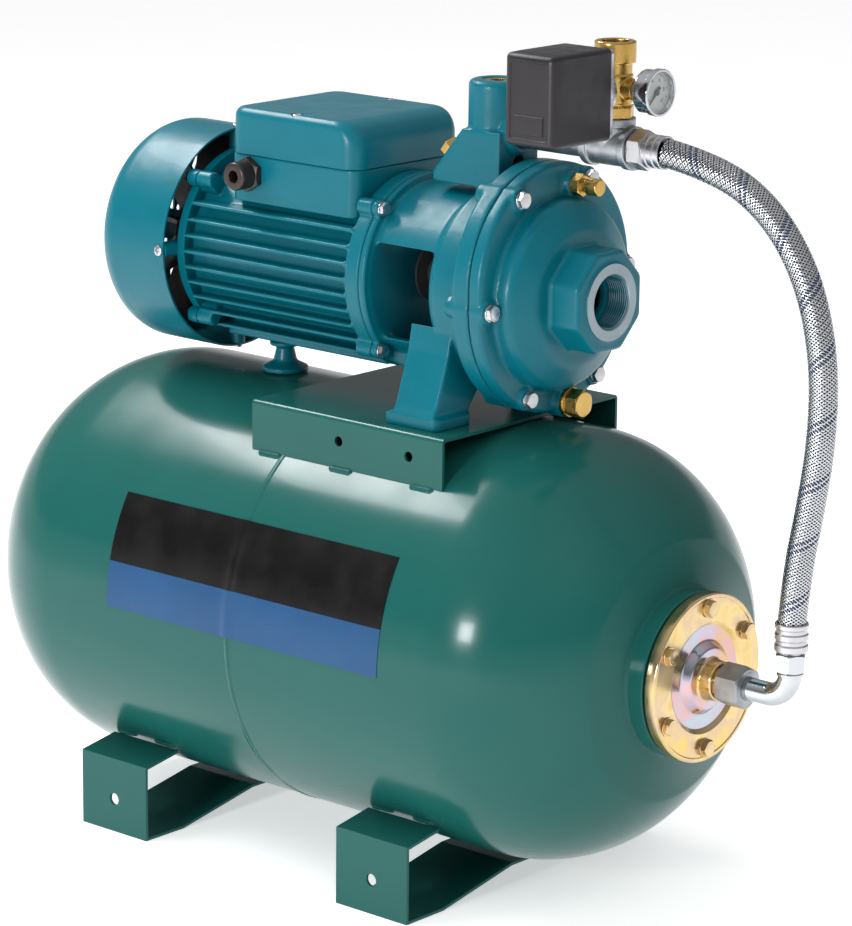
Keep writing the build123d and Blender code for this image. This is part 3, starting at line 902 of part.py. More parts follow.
# ---------------------------------------------------------------- hose
HOSE_X0 = MANIFOLD_X + TEE_REACH + 34.0
ARM_TOP = TANK_AXIS_Z + 40.0
HOSE_Z1 = ARM_TOP + 26.0
hose_route = [(HOSE_X0, TEE_Z), (TANK_X + 381, TEE_Z - 7), (TANK_X + 434, TEE_Z - 36),
              (TANK_X + 471, TEE_Z - 85), (TANK_X + 489, TEE_Z - 149), (TANK_X + 489.5, TEE_Z - 213),
              (TANK_X + 480.5, TEE_Z - 274), (TANK_X + 470, TEE_Z - 327), (ELBOW_X, HOSE_Z1)]


def hose_radii(points):
    """Each corner's arc: 0.45 of the shorter run over the tangent of half the turn."""
    radii = []
    for before, corner, after in zip(points, points[1:], points[2:]):
        run_in = Vector(corner[0] - before[0], 0, corner[1] - before[1])
        run_out = Vector(after[0] - corner[0], 0, after[1] - corner[1])
        half_turn = math.radians(run_in.get_angle(run_out)) / 2
        radii.append(0.45 * min(run_in.length, run_out.length) / math.tan(half_turn))
    return radii


bend_radii = hose_radii(hose_route)
print("hose bend radii", [round(radius) for radius in bend_radii])
with BuildPart() as hose_tube:
    with BuildLine(Plane.XZ) as hose_line:
        FilletPolyline(*hose_route, radius=bend_radii)
    with BuildSketch(Plane(origin=hose_line.line @ 0, z_dir=hose_line.line % 0)):
        Circle(HOSE_DIAMETER / 2)
    sweep(path=hose_line.line)
hose_length = sum(edge.length for edge in hose_line.edges())
hose_section = math.pi * (HOSE_DIAMETER / 2) ** 2
print("hose length", round(hose_length, 1), "volume ratio",
      hose_tube.part.volume / (hose_section * hose_length))
save(hose_tube.part, "hose_tube")

NUT_FLATS = 30.0
with BuildPart() as hose_upper_nut:
    hexagon((MANIFOLD_X + TEE_REACH + 0.3, 0, TEE_Z), (MANIFOLD_X + TEE_REACH + 15, 0, TEE_Z), NUT_FLATS)
    rod((MANIFOLD_X + TEE_REACH - 11, 0, TEE_Z), (MANIFOLD_X + TEE_REACH + 1, 0, TEE_Z), NIPPLE_RADIUS)
    rod((MANIFOLD_X, 0, TEE_Z), (MANIFOLD_X + TEE_REACH + 16, 0, TEE_Z), 9, Mode.SUBTRACT)
save(hose_upper_nut.part, "hose_upper_nut")

with BuildPart() as hose_ferrules:
    turn([(MANIFOLD_X + TEE_REACH + 15.1, 8), (MANIFOLD_X + TEE_REACH + 15.1, 12),
          (MANIFOLD_X + TEE_REACH + 17, 14.2), (HOSE_X0, 14.2), (HOSE_X0, 8)],
         plane=Plane(origin=(0, 0, TEE_Z), x_dir=(1, 0, 0), z_dir=(0, -1, 0)),
         axis=Axis((0, 0, TEE_Z), (1, 0, 0)))
    rod((ELBOW_X, 0, ARM_TOP + 0.2), (ELBOW_X, 0, HOSE_Z1), 14.2)
    rod((ELBOW_X, 0, ARM_TOP - 1), (ELBOW_X, 0, HOSE_Z1 + 1), 8, Mode.SUBTRACT)
    add(hose_tube.part, mode=Mode.SUBTRACT)
save(hose_ferrules.part, "hose_ferrules")

ELBOW_BEND = 22.0
ELBOW_X0 = NIPPLE_X1 + 0.5
with BuildPart() as hose_elbow:
    with BuildLine(Plane.XZ) as elbow_line:
        FilletPolyline((ELBOW_X0, TANK_AXIS_Z), (ELBOW_X, TANK_AXIS_Z), (ELBOW_X, ARM_TOP),
                       radius=ELBOW_BEND)
    with BuildSketch(Plane(origin=elbow_line.line @ 0, z_dir=elbow_line.line % 0)) as elbow_outside:
        Circle(ELBOW_REACH + TANK_X - ELBOW_X)
    sweep(elbow_outside.sketch, path=elbow_line.line)
    hexagon((ELBOW_X, 0, ARM_TOP - 16), (ELBOW_X, 0, ARM_TOP), 24)
    rod((ELBOW_X0, 0, TANK_AXIS_Z), (ELBOW_X0 + 4, 0, TANK_AXIS_Z), 13)
    with BuildSketch(Plane(origin=elbow_line.line @ 0, z_dir=elbow_line.line % 0)) as elbow_bore:
        Circle(7)
    sweep(elbow_bore.sketch, path=elbow_line.line, mode=Mode.SUBTRACT)
save(hose_elbow.part, "hose_elbow")

with BuildPart() as elbow_nut:
    hexagon((NIPPLE_X1 - 15, 0, TANK_AXIS_Z), (ELBOW_X0 + 8, 0, TANK_AXIS_Z), 33)
    chamfer(elbow_nut.faces().sort_by(Axis.X)[-1].edges(), 1.5)
    chamfer(elbow_nut.faces().sort_by(Axis.X)[0].edges(), 1.5)
    rod((NIPPLE_X1 - 16, 0, TANK_AXIS_Z), (ELBOW_X0 + 4.5, 0, TANK_AXIS_Z), NIPPLE_RADIUS + FIT_GAP,
        Mode.SUBTRACT)
    rod((ELBOW_X0, 0, TANK_AXIS_Z), (ELBOW_X0 + 9, 0, TANK_AXIS_Z), ELBOW_REACH + TANK_X - ELBOW_X + 0.3,
        Mode.SUBTRACT)
save(elbow_nut.part, "elbow_nut")
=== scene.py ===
import json
import math
import random

import bmesh
import bpy
from mathutils import Matrix, Vector, noise

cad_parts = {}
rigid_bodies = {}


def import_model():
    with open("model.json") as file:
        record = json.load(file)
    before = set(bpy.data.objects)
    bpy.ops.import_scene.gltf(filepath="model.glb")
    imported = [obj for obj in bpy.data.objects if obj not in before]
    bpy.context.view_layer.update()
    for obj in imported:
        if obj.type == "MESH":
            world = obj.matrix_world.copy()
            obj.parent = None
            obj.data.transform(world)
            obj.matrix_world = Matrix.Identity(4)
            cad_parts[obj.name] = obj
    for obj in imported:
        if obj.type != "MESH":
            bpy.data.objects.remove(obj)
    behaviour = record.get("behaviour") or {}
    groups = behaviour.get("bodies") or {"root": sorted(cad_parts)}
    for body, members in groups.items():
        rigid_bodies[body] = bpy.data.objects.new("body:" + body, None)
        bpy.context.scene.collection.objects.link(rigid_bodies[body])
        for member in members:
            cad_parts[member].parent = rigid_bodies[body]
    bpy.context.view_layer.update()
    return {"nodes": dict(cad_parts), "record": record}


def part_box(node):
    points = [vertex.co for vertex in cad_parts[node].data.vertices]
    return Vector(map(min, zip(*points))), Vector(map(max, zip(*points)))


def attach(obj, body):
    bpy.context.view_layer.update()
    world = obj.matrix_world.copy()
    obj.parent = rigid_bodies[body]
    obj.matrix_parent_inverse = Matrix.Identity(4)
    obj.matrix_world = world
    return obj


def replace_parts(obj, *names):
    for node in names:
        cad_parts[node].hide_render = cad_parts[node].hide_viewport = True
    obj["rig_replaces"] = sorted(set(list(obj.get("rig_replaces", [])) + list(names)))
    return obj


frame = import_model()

MM = 0.001
X, Y, Z = Vector((1, 0, 0)), Vector((0, 1, 0)), Vector((0, 0, 1))


def middle(node):
    """The middle of a CAD node's box."""
    low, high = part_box(node)
    return (low + high) / 2


# ------------------------------------------------------------------ sizes, and places taken from the frame
HALF_BARREL = 222 * MM
DOME_DEPTH = 155 * MM
SHELL_LOW, SHELL_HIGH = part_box("tank_shell")
TANK_RADIUS = (SHELL_HIGH.z - SHELL_LOW.z) / 2
TANK_X = SHELL_LOW.x + HALF_BARREL + DOME_DEPTH
TANK = Vector((TANK_X, 0, (SHELL_LOW.z + SHELL_HIGH.z) / 2))
SHAFT = Vector((TANK_X, 0, middle("shaft").z))
TEE_Z = middle("delivery_nipple").z
SEAM_X = TANK_X + 3 * MM
PITCH_G_3_4 = 1.814 * MM
PITCH_G_1_1_2 = 2.309 * MM


# ------------------------------------------------------------------ materials
def srgb(red, green, blue):
    """A colour given in display values from 0 to 255, made linear."""
    return [c / 12.92 if c <= 0.04045 else ((c + 0.055) / 1.055) ** 2.4
            for c in (red / 255, green / 255, blue / 255)]


def material(name, color, metallic=0.0, roughness=0.4, coat=0.0, second=None, patch=25.0, blend=0.5,
             rough_span=0.08, grain=900.0, grain_height=0.02, wave=0.0, wave_scale=60.0, stops=(),
             specular=0.5):
    """A finish with soft colour patches, uneven gloss, fine grain and a slow wave in the surface."""
    made = bpy.data.materials.new(name)
    made.use_nodes = True
    nodes, links = made.node_tree.nodes, made.node_tree.links
    shader = nodes["Principled BSDF"]
    shader.inputs["Metallic"].default_value = metallic
    shader.inputs["Coat Weight"].default_value = coat
    shader.inputs["Specular IOR Level"].default_value = specular
    shader.inputs["Coat Roughness"].default_value = 0.04
    place = nodes.new("ShaderNodeTexCoord")

    def field(scale, detail=3.0):
        """Noise over the object's own coordinates."""
        made_noise = nodes.new("ShaderNodeTexNoise")
        made_noise.inputs["Scale"].default_value = scale
        made_noise.inputs["Detail"].default_value = detail
        links.new(place.outputs["Object"], made_noise.inputs["Vector"])
        return made_noise.outputs["Fac"]

    second = second or [c * 0.82 for c in color]
    ramp = nodes.new("ShaderNodeValToRGB")
    ramp.color_ramp.elements[0].position = 0.5 - blend / 2
    ramp.color_ramp.elements[1].position = 0.5 + blend / 2
    ramp.color_ramp.elements[0].color = (*second, 1)
    ramp.color_ramp.elements[1].color = (*color, 1)
    for position, tone in stops:
        ramp.color_ramp.elements.new(position).color = (*tone, 1)
    links.new(field(patch), ramp.inputs["Fac"])
    links.new(ramp.outputs["Color"], shader.inputs["Base Color"])

    gloss = nodes.new("ShaderNodeMapRange")
    gloss.inputs["From Min"].default_value = 0.3
    gloss.inputs["From Max"].default_value = 0.7
    gloss.inputs["To Min"].default_value = max(0.02, roughness - rough_span)
    gloss.inputs["To Max"].default_value = roughness + rough_span
    links.new(field(patch * 3), gloss.inputs["Value"])
    links.new(gloss.outputs["Result"], shader.inputs["Roughness"])

    rise = nodes.new("ShaderNodeBump")
    rise.inputs["Strength"].default_value = 1.0
    rise.inputs["Distance"].default_value = grain_height * MM
    links.new(field(grain, 2.0), rise.inputs["Height"])
    last = rise
    if wave:
        swell = nodes.new("ShaderNodeBump")
        swell.inputs["Strength"].default_value = 1.0
        swell.inputs["Distance"].default_value = wave * MM
        links.new(field(wave_scale, 1.0), swell.inputs["Height"])
        links.new(rise.outputs["Normal"], swell.inputs["Normal"])
        last = swell
    links.new(last.outputs["Normal"], shader.inputs["Normal"])
    return made


TANK_GREEN = srgb(24, 86, 81)
PUMP_TEAL = srgb(0, 100, 115)
FINISH = {
    "tank_paint": material("tank_enamel", TANK_GREEN, roughness=0.2, coat=0.05, specular=0.22,
                           second=[c * 0.9 for c in TANK_GREEN], patch=6, rough_span=0.04, grain=260,
                           grain_height=0.012),
    "pump_paint": material("pump_enamel", PUMP_TEAL, roughness=0.34, coat=0.04, specular=0.26,
                           second=[c * 0.88 for c in PUMP_TEAL], patch=14, rough_span=0.03, grain=320,
                           grain_height=0.08, wave=0.5, wave_scale=45),
    "rubber": material("black_rubber", srgb(28, 28, 28), roughness=0.75),
    "zinc_yellow": material("passivated_zinc", srgb(224, 192, 118), metallic=1.0, roughness=0.2,
                            rough_span=0.06, second=srgb(206, 172, 92), patch=26, blend=0.4, grain=1500,
                            grain_height=0.01,
                            stops=((0.45, srgb(222, 196, 140)), (0.53, srgb(206, 182, 150)))),
    "zinc": material("zinc_plate", srgb(205, 205, 208), metallic=1.0, roughness=0.3, grain=1400),
    "galvanised": material("galvanised_iron", srgb(176, 180, 184), metallic=1.0,
                           second=srgb(140, 145, 150), patch=90, grain=500, grain_height=0.08),
    "chrome": material("chrome_plate", srgb(206, 209, 214), metallic=1.0, roughness=0.08, rough_span=0.02,
                       grain_height=0.004),
    "brass": material("machined_brass", srgb(212, 178, 106), metallic=1.0, roughness=0.28,
                      second=srgb(190, 152, 80), patch=60, grain=800, grain_height=0.03),
    "steel": material("bare_steel", srgb(168, 172, 176), metallic=1.0, roughness=0.32, grain=1600,
                      grain_height=0.015),
    "black_plastic": material("black_plastic", srgb(25, 21, 26), roughness=0.42, grain=1500,
                              grain_height=0.05),
    "cast_iron": material("bare_cast_iron", srgb(120, 124, 128), metallic=0.8, roughness=0.5, grain=600,
                          grain_height=0.1),
    "copper": material("enamelled_copper", srgb(184, 96, 48), metallic=0.9, roughness=0.3, grain=700,
                       grain_height=0.2),
    "lamination": material("stacked_sheet", srgb(120, 124, 130), metallic=0.9, roughness=0.45, grain=1200,
                           grain_height=0.05),
    "braid": material("braided_wire", srgb(214, 217, 222), metallic=1.0, roughness=0.24, grain=1500,
                      grain_height=0.03),
    "dial_white": material("dial_white", srgb(236, 236, 232), roughness=0.35, coat=0.2, grain_height=0.004),
    "pointer_black": material("pointer_black", srgb(18, 18, 18), roughness=0.3, grain_height=0.004),
    "white_plastic": material("white_plastic", srgb(224, 223, 217)),
    "ceramic": material("lapped_ceramic", srgb(228, 222, 208), roughness=0.2),
}
LABEL_BLACK = material("label_black", srgb(5, 5, 6), roughness=0.35, specular=0.3, patch=12,
                       grain_height=0.003)
LABEL_BLUE = material("label_blue", srgb(26, 74, 118), roughness=0.35, specular=0.3, patch=12,
                      grain_height=0.003)
DISH_SHEEN = material("passivated_dish", srgb(196, 170, 186), metallic=1.0, roughness=0.16, rough_span=0.05,
                      second=srgb(204, 178, 120), patch=20, blend=0.44, grain=1500, grain_height=0.008,
                      stops=((0.42, srgb(208, 168, 160)), (0.5, srgb(190, 178, 196)),
                             (0.58, srgb(172, 190, 196))))
TRACER_BLUE = material("tracer_blue", srgb(40, 62, 110), grain_height=0.01)
MACHINED_IRON = material("machined_iron", srgb(150, 164, 172), metallic=0.9, roughness=0.38,
                         grain_height=0.04)
GLAND_BLACK = material("gland_black", srgb(38, 26, 22), roughness=0.35, grain_height=0.04)
CLEAR_LENS = material("clear_lens", (0.95, 0.97, 0.98), roughness=0.03, second=(0.92, 0.95, 0.96), patch=40,
                      rough_span=0.01, grain=300, grain_height=0.0005)
LENS_INPUTS = CLEAR_LENS.node_tree.nodes["Principled BSDF"].inputs
LENS_INPUTS["Transmission Weight"].default_value = 1.0
LENS_INPUTS["IOR"].default_value = 1.45
FINISH["clear_lens"] = CLEAR_LENS


# ------------------------------------------------------------------ mesh tools
def cross_axes(axis):
    """Two unit vectors square to an axis and to each other, the second as near to +Z as it can be."""
    axis = axis.normalized()
    side = Z if abs(axis.z) < 0.9 else X
    up = (side - axis * side.dot(axis)).normalized()
    return up.cross(axis).normalized(), up


def corner_ring(u0, u1, v0, v1, turn, steps):
    """The outline of a rectangle whose corners have the radius turn."""
    out = []
    for centre_u, centre_v, start in ((u1 - turn, v1 - turn, 0), (u0 + turn, v1 - turn, 90),
                                      (u0 + turn, v0 + turn, 180), (u1 - turn, v0 + turn, 270)):
        for k in range(steps + 1):
            a = math.radians(start + 90 * k / steps)
            out.append((centre_u + turn * math.cos(a), centre_v + turn * math.sin(a)))
    return out


def rounded(profile, radii):
    """A closed outline whose corners, given by index, are rounded to a radius."""
    out = []
    count = len(profile)
    for index, corner in enumerate(profile):
        radius = radii.get(index, 0)
        if not radius:
            out.append(corner)
            continue
        here = Vector(corner)
        to_before = Vector(profile[index - 1]) - here
        to_after = Vector(profile[(index + 1) % count]) - here
        half_angle = to_before.angle(to_after) / 2
        reach = min(radius / math.tan(half_angle), to_before.length * 0.49, to_after.length * 0.49)
        first = here + to_before.normalized() * reach
        last = here + to_after.normalized() * reach
        for step in range(7):
            t = step / 6
            point = first * (1 - t) ** 2 + here * 2 * t * (1 - t) + last * t ** 2
            out.append((point.x, point.y))
    return out


class Shape:
    """Points and faces gathered by simple operations, then made into one piece."""

    def __init__(self):
        self.points = []
        self.faces = []
        self.marks = []

    def rings(self, rows, closed_rows=True, mark=0, capped=False):
        """Joins rings of equal size with four-sided faces; closed_rows joins the last ring to the first."""
        base = len(self.points)
        size = len(rows[0])
        for row in rows:
            self.points.extend(row)
        pairs = range(len(rows) if closed_rows else len(rows) - 1)
        for row in pairs:
            after = (row + 1) % len(rows)
            for k in range(size):
                k2 = (k + 1) % size
                self.faces.append((base + row * size + k, base + row * size + k2,
                                   base + after * size + k2, base + after * size + k))
                self.marks.append(mark(row) if callable(mark) else mark)
        if capped:
            self.faces.append(tuple(base + k for k in reversed(range(size))))
            self.faces.append(tuple(base + (len(rows) - 1) * size + k for k in range(size)))
            self.marks.extend((0, 0) if callable(mark) else (mark, mark))

    def turned(self, profile, origin, axis, segments=96, radial=None, mark=0):
        """Revolves an outline of (station, radius) about an axis; radial adds to the radius."""
        side, up = cross_axes(axis)
        rows = []
        for station, radius in profile:
            row = []
            for k in range(segments):
                angle = math.tau * k / segments
                extra = radial(station, angle) if radial and radius > 0 else 0.0
                row.append(origin + axis * station
                           + (side * math.cos(angle) + up * math.sin(angle)) * (radius + extra))
            rows.append(row)
        self.rings(rows, mark=mark)

    def hexagon(self, origin, axis, length, across, bore=0.0, both=False, twist=0.0):
        """A hexagon head or nut, its flats across apart, chamfered on top or at both ends."""
        side, up = cross_axes(axis)
        circle = across * 0.48
        segments = 72
        bottom, top = [], []
        bottom_edge, top_edge = [], []
        for k in range(segments):
            angle = math.tau * k / segments
            offset = math.radians((math.degrees(angle) + 30) % 60 - 30)
            radius = across / 2 / math.cos(offset)
            drop = (radius - circle) * math.tan(math.radians(30))
            way = side * math.cos(angle + twist) + up * math.sin(angle + twist)
            bottom.append(origin + way * radius + axis * (drop if both else 0.0))
            top.append(origin + way * radius + axis * (length - drop))
            bottom_edge.append((origin, way))
            top_edge.append((origin + axis * length, way))
        rows = [bottom, top, [o + w * circle for o, w in top_edge]]
        inner = max(bore, 1e-5)
        rows.append([o + w * inner for o, w in top_edge])
        rows.append([o + w * inner for o, w in bottom_edge])
        if both:
            rows.append([o + w * circle for o, w in bottom_edge])
        self.rings(rows)

    def strip(self, rows, mark=0):
        """A sheet of four-sided faces over rows of points."""
        base = len(self.points)
        size = len(rows[0])
        for row in rows:
            self.points.extend(row)
        for row in range(len(rows) - 1):
            for k in range(size - 1):
                a = base + row * size + k
                self.faces.append((a, a + 1, a + size + 1, a + size))
                self.marks.append(mark)

    def piece(self, name, slot, finishes=None, replaces=(), smooth=35.0, weld=True):
        """Makes the piece and gives it its finish, taken from the slot unless finishes are given, and the
        nodes that it stands for.
        """
        mesh = bpy.data.meshes.new(name)
        mesh.from_pydata([tuple(p) for p in self.points], [], self.faces)
        for finish in finishes or [FINISH[slot]]:
            mesh.materials.append(finish)
        mesh.polygons.foreach_set("material_index", self.marks)
        made = bpy.data.objects.new(name, mesh)
        bpy.context.scene.collection.objects.link(made)
        tidy_mesh(mesh, smooth, weld)
        return settle(made, replaces)


def thread(pitch, depth, low, high):
    """A radius change that cuts a thread between two stations."""
    def change(station, angle):
        if not low <= station <= high:
            return 0.0
        phase = (station / pitch - angle / math.tau) % 1.0
        return -depth * (1 - abs(2 * phase - 1))
    return change


def run(low, high, radius, step):
    """Evenly spaced stations at one radius, both ends included."""
    count = max(1, round(abs(high - low) / step))
    return [(low + (high - low) * k / count, radius) for k in range(count + 1)]


def solids(node):
    """The low and high corner of each separate solid of a CAD node."""
    work = bmesh.new()
    work.from_mesh(frame["nodes"][node].data)
    bmesh.ops.remove_doubles(work, verts=work.verts, dist=1e-6)
    left = set(work.verts)
    boxes = []
    while left:
        stack = [left.pop()]
        group = []
        while stack:
            vert = stack.pop()
            group.append(vert.co.copy())
            for edge in vert.link_edges:
                other = edge.other_vert(vert)
                if other in left:
                    left.discard(other)
                    stack.append(other)
        boxes.append([Vector(pick(c[k] for c in group) for k in range(3)) for pick in (min, max)])
    work.free()
    return sorted(boxes, key=lambda box: tuple(round(v, 4) for v in box[0]))


def level_point(x, low, high):
    """A point at x, midway between two corners in y and z."""
    return Vector((x, (low.y + high.y) / 2, (low.z + high.z) / 2))


def add_bolt(shape, seat, axis, across, height, washer=0.0, twist=0.0):
    """A chamfered hexagon head, on a washer if it has one, above its seat."""
    if washer:
        shape.turned(rounded([(0.1 * MM, 2 * MM), (0.1 * MM, washer), (1.4 * MM, washer), (1.4 * MM, 2 * MM)],
                             {1: 0.3 * MM, 2: 0.5 * MM}), seat, axis, 40)
    lift = 1.3 * MM if washer else 0.1 * MM
    shape.hexagon(seat + axis * lift, axis, height - lift, across, twist=twist)
    shape.turned([(height - 0.5 * MM, 0), (height - 0.5 * MM, across * 0.36),
                  (height + 0.05 * MM, across * 0.36), (height + 0.12 * MM, across * 0.33),
                  (height + 0.12 * MM, 0)], seat, axis, 40)


def pan_head(shape, seat, axis, radius, height):
    """A domed screw head with a cross slot."""
    side, up = cross_axes(axis)
    rows = [[seat + (side * math.cos(math.tau * k / 48) + up * math.sin(math.tau * k / 48)) * radius
             for k in range(48)]]
    for ring in range(19):
        share = 1 - ring / 18
        row = []
        for k in range(48):
            angle = math.tau * k / 48
            x, y = math.cos(angle) * radius * share, math.sin(angle) * radius * share
            level = height * (0.55 + 0.45 * math.sqrt(max(0.0, 1 - share * share * 0.98)))
            slot = min(abs(x), abs(y)) < radius * 0.14 and share < 0.62
            row.append(seat + side * x + up * y + axis * (level - (height * 0.5 if slot else 0)))
        rows.append(row)
    shape.rings(rows, closed_rows=False)


def tube_ring(place, way, radius, segments):
    """A circle of points round a line that lies in the plane y = 0."""
    out = Y.cross(way).normalized()
    return [place + (out * math.cos(math.tau * k / segments) + Y * math.sin(math.tau * k / segments)) * radius
            for k in range(segments)]


def swept(shape, places, radius):
    """A round tube along a line that lies in the plane y = 0, its ends closed."""
    rows = []
    last = len(places) - 1
    for index, place in enumerate(places):
        way = (places[min(index + 1, last)] - places[max(index - 1, 0)]).normalized()
        rows.append(tube_ring(place, way, radius, 32))
    shape.rings(rows, closed_rows=False, capped=True)


def weld_line(shape, start, end, normal, width, height, seed):
    """A straight weld bead of overlapping ripples."""
    shift = random.Random(seed).random() * 40
    way = (end - start).normalized()
    side = way.cross(normal).normalized()
    length = (end - start).length
    steps = max(8, round(length / (0.8 * MM)))
    rows = []
    for k in range(steps + 1):
        share = k / steps
        taper = min(1.0, 6 * share + 0.3, 6 * (1 - share) + 0.3)
        ripple = (0.8 + 0.2 * math.cos(share * length / (2.6 * MM) * math.tau)
                  + 0.3 * noise.noise(Vector((share * length * 60, shift, 0)))) * taper
        place = start + way * (length * share)
        rows.append([place + side * (math.cos(math.tau * j / 10) * width / 2 * taper)
                     + normal * (math.sin(math.tau * j / 10) * height * ripple) for j in range(10)])
    shape.rings(rows, closed_rows=False, capped=True)


def tidy_mesh(mesh, smooth, weld=True):
    """Merges doubled points, turns faces outward and shades smooth up to an angle."""
    work = bmesh.new()
    work.from_mesh(mesh)
    if weld:
        bmesh.ops.remove_doubles(work, verts=work.verts, dist=2e-6)
        bmesh.ops.dissolve_degenerate(work, edges=work.edges, dist=1e-7)
        bmesh.ops.recalc_face_normals(work, faces=work.faces)
    work.to_mesh(mesh)
    work.free()
    mesh.shade_smooth()
    mesh.set_sharp_from_angle(angle=math.radians(smooth))
    mesh.update()


def settle(made, replaces=()):
    """Rides the piece on the fixed body and says what it stands for."""
    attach(made, "frame")
    if replaces:
        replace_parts(made, *replaces)
    return made


def evaluated_mesh(made):
    """The object's mesh with its modifiers applied."""
    graph = bpy.context.evaluated_depsgraph_get()
    graph.update()
    return bpy.data.meshes.new_from_object(made.evaluated_get(graph))


def casting(name, node, slot, voxel, rounds):
    """A casting: the node's shape with every edge and inner corner softened."""
    copy = bpy.data.objects.new(name, frame["nodes"][node].data.copy())
    bpy.context.scene.collection.objects.link(copy)
    remesh = copy.modifiers.new("skin", "REMESH")
    remesh.mode = "VOXEL"
    remesh.voxel_size = voxel
    ease = copy.modifiers.new("ease", "SMOOTH")
    ease.factor = 0.5
    ease.iterations = rounds
    mesh = evaluated_mesh(copy)
    copy.modifiers.clear()
    copy.data = mesh
    mesh.materials.clear()
    mesh.materials.append(FINISH[slot])
    mesh.shade_smooth()
    settle(copy, (node,))


REAL_EDGE = math.radians(32)


def dress(node, finish, edge):
    """Gives a CAD node its finish, bevels its edges by a width and shades it smooth between them."""
    made = frame["nodes"][node]
    made.data.materials.clear()
    made.data.materials.append(finish)
    made.data.shade_smooth()
    weld = made.modifiers.new("weld", "WELD")
    weld.merge_threshold = 1e-6
    if edge:
        flat = made.modifiers.new("flat", "DECIMATE")
        flat.decimate_type = "DISSOLVE"
        flat.angle_limit = math.radians(0.6)
        bevel = made.modifiers.new("edge", "BEVEL")
        bevel.width = edge
        bevel.segments = 2
        bevel.limit_method = "ANGLE"
        bevel.angle_limit = REAL_EDGE
        even = made.modifiers.new("even", "WEIGHTED_NORMAL")
        even.keep_sharp = False
    else:
        split = made.modifiers.new("split", "EDGE_SPLIT")
        split.split_angle = REAL_EDGE


# ------------------------------------------------------------------ camera, floor and light
CAMERA_AZIMUTH, CAMERA_ELEVATION, CAMERA_ROLL = 41.0, 14.0, 0.6
CAMERA_LENS = 151.6
CAMERA_DISTANCE = 3.519
CAMERA_AIM = Vector((-0.0200, 0.0539, 0.3373))


def direction(azimuth, elevation):
    """The way from the object towards a place at that azimuth and elevation, in degrees."""
    a, e = math.radians(azimuth), math.radians(elevation)
    return Vector((math.sin(a) * math.cos(e), -math.cos(a) * math.cos(e), math.sin(e)))


def make_camera():
    """The camera of the main view."""
    data = bpy.data.cameras.new("camera")
    data.lens = CAMERA_LENS
    data.sensor_width = 36
    data.clip_start, data.clip_end = 0.1, 50
    made = bpy.data.objects.new("camera", data)
    back = direction(CAMERA_AZIMUTH, CAMERA_ELEVATION)
    side = Z.cross(back).normalized()
    up = back.cross(side)
    r = math.radians(CAMERA_ROLL)
    across = side * math.cos(r) + up * math.sin(r)
    above = up * math.cos(r) - side * math.sin(r)
    turn = Matrix((across, above, back)).transposed().to_4x4()
    made.matrix_world = Matrix.Translation(CAMERA_AIM + back * CAMERA_DISTANCE) @ turn
    bpy.context.scene.collection.objects.link(made)
    bpy.context.scene.camera = made


def softbox(name, azimuth, elevation, distance, width, height, power, mirrored):
    """An area light that faces the middle of the set; mirrored says whether reflections show it."""
    data = bpy.data.lights.new(name, "AREA")
    data.shape = "RECTANGLE"
    data.size, data.size_y = width, height
    data.energy = power
    made = bpy.data.objects.new(name, data)
    back = direction(azimuth, elevation)
    made.location = Vector((TANK_X, 0, 0.35)) + back * distance
    made.rotation_mode = "QUATERNION"
    made.rotation_quaternion = back.to_track_quat("Z", "Y")
    made.visible_glossy = mirrored
    bpy.context.scene.collection.objects.link(made)


def make_studio():
    """Pale floor, soft surroundings with a pale horizon, and four softboxes."""
    mesh = bpy.data.meshes.new("floor")
    half = 12.0
    corners = [(-half, -half, 0), (half, -half, 0), (half, half, 0), (-half, half, 0)]
    mesh.from_pydata(corners, [], [(0, 1, 2, 3)])
    floor = bpy.data.objects.new("floor", mesh)
    pale = material("floor_pale", (0.9, 0.9, 0.9), roughness=0.7, second=(0.88, 0.88, 0.88), patch=2,
                    grain_height=0.001)
    glow = pale.node_tree.nodes["Principled BSDF"]
    glow.inputs["Emission Color"].default_value = (1, 1, 1, 1)
    glow.inputs["Emission Strength"].default_value = 0.5
    glow.inputs["Specular IOR Level"].default_value = 0.1
    mesh.materials.append(pale)
    bpy.context.scene.collection.objects.link(floor)
    world = bpy.data.worlds.new("studio")
    world.use_nodes = True
    nodes, links = world.node_tree.nodes, world.node_tree.links
    place = nodes.new("ShaderNodeTexCoord")
    split = nodes.new("ShaderNodeSeparateXYZ")
    sky = nodes.new("ShaderNodeValToRGB")
    for index, (height, level) in enumerate(((0.0, 0.8), (0.8, 0.6))):
        sky.color_ramp.elements[index].position = height
        sky.color_ramp.elements[index].color = (level, level, level, 1)
    for height, level in ((0.1, 0.78), (0.15, 0.16), (0.42, 0.32)):
        sky.color_ramp.elements.new(height).color = (level, level, level * 1.02, 1)
    links.new(place.outputs["Generated"], split.inputs["Vector"])
    links.new(split.outputs["Z"], sky.inputs["Fac"])
    links.new(sky.outputs["Color"], nodes["Background"].inputs["Color"])
    bpy.context.scene.world = world
    for row in (("band_card", -85, 50, 3.0, 1.7, 0.42, 58, True),
                ("square_card", 3, 12, 3.2, 0.60, 0.50, 46, True),
                ("key_box", -40, 50, 3.2, 1.4, 1.4, 30, False),
                ("fill_box", 70, 40, 3.4, 1.8, 1.8, 24, False)):
        softbox(*row)
    bpy.context.scene.view_settings.view_transform = "Standard"


# ------------------------------------------------------------------ hose
HOSE_DIAMETER = 25 * MM
HOSE_X0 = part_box("hose_tube")[0].x
HOSE_ROUTE = [(0.2875, 0, 0.662), (0.3425, 0, 0.655), (0.3955, 0, 0.626), (0.4325, 0, 0.577),
              (0.4505, 0, 0.513), (0.451, 0, 0.449), (0.442, 0, 0.388), (0.4315, 0, 0.335),
              (0.4275, 0, 0.289)]
CARRIERS = 18
BRAID_LEAD = 52 * MM


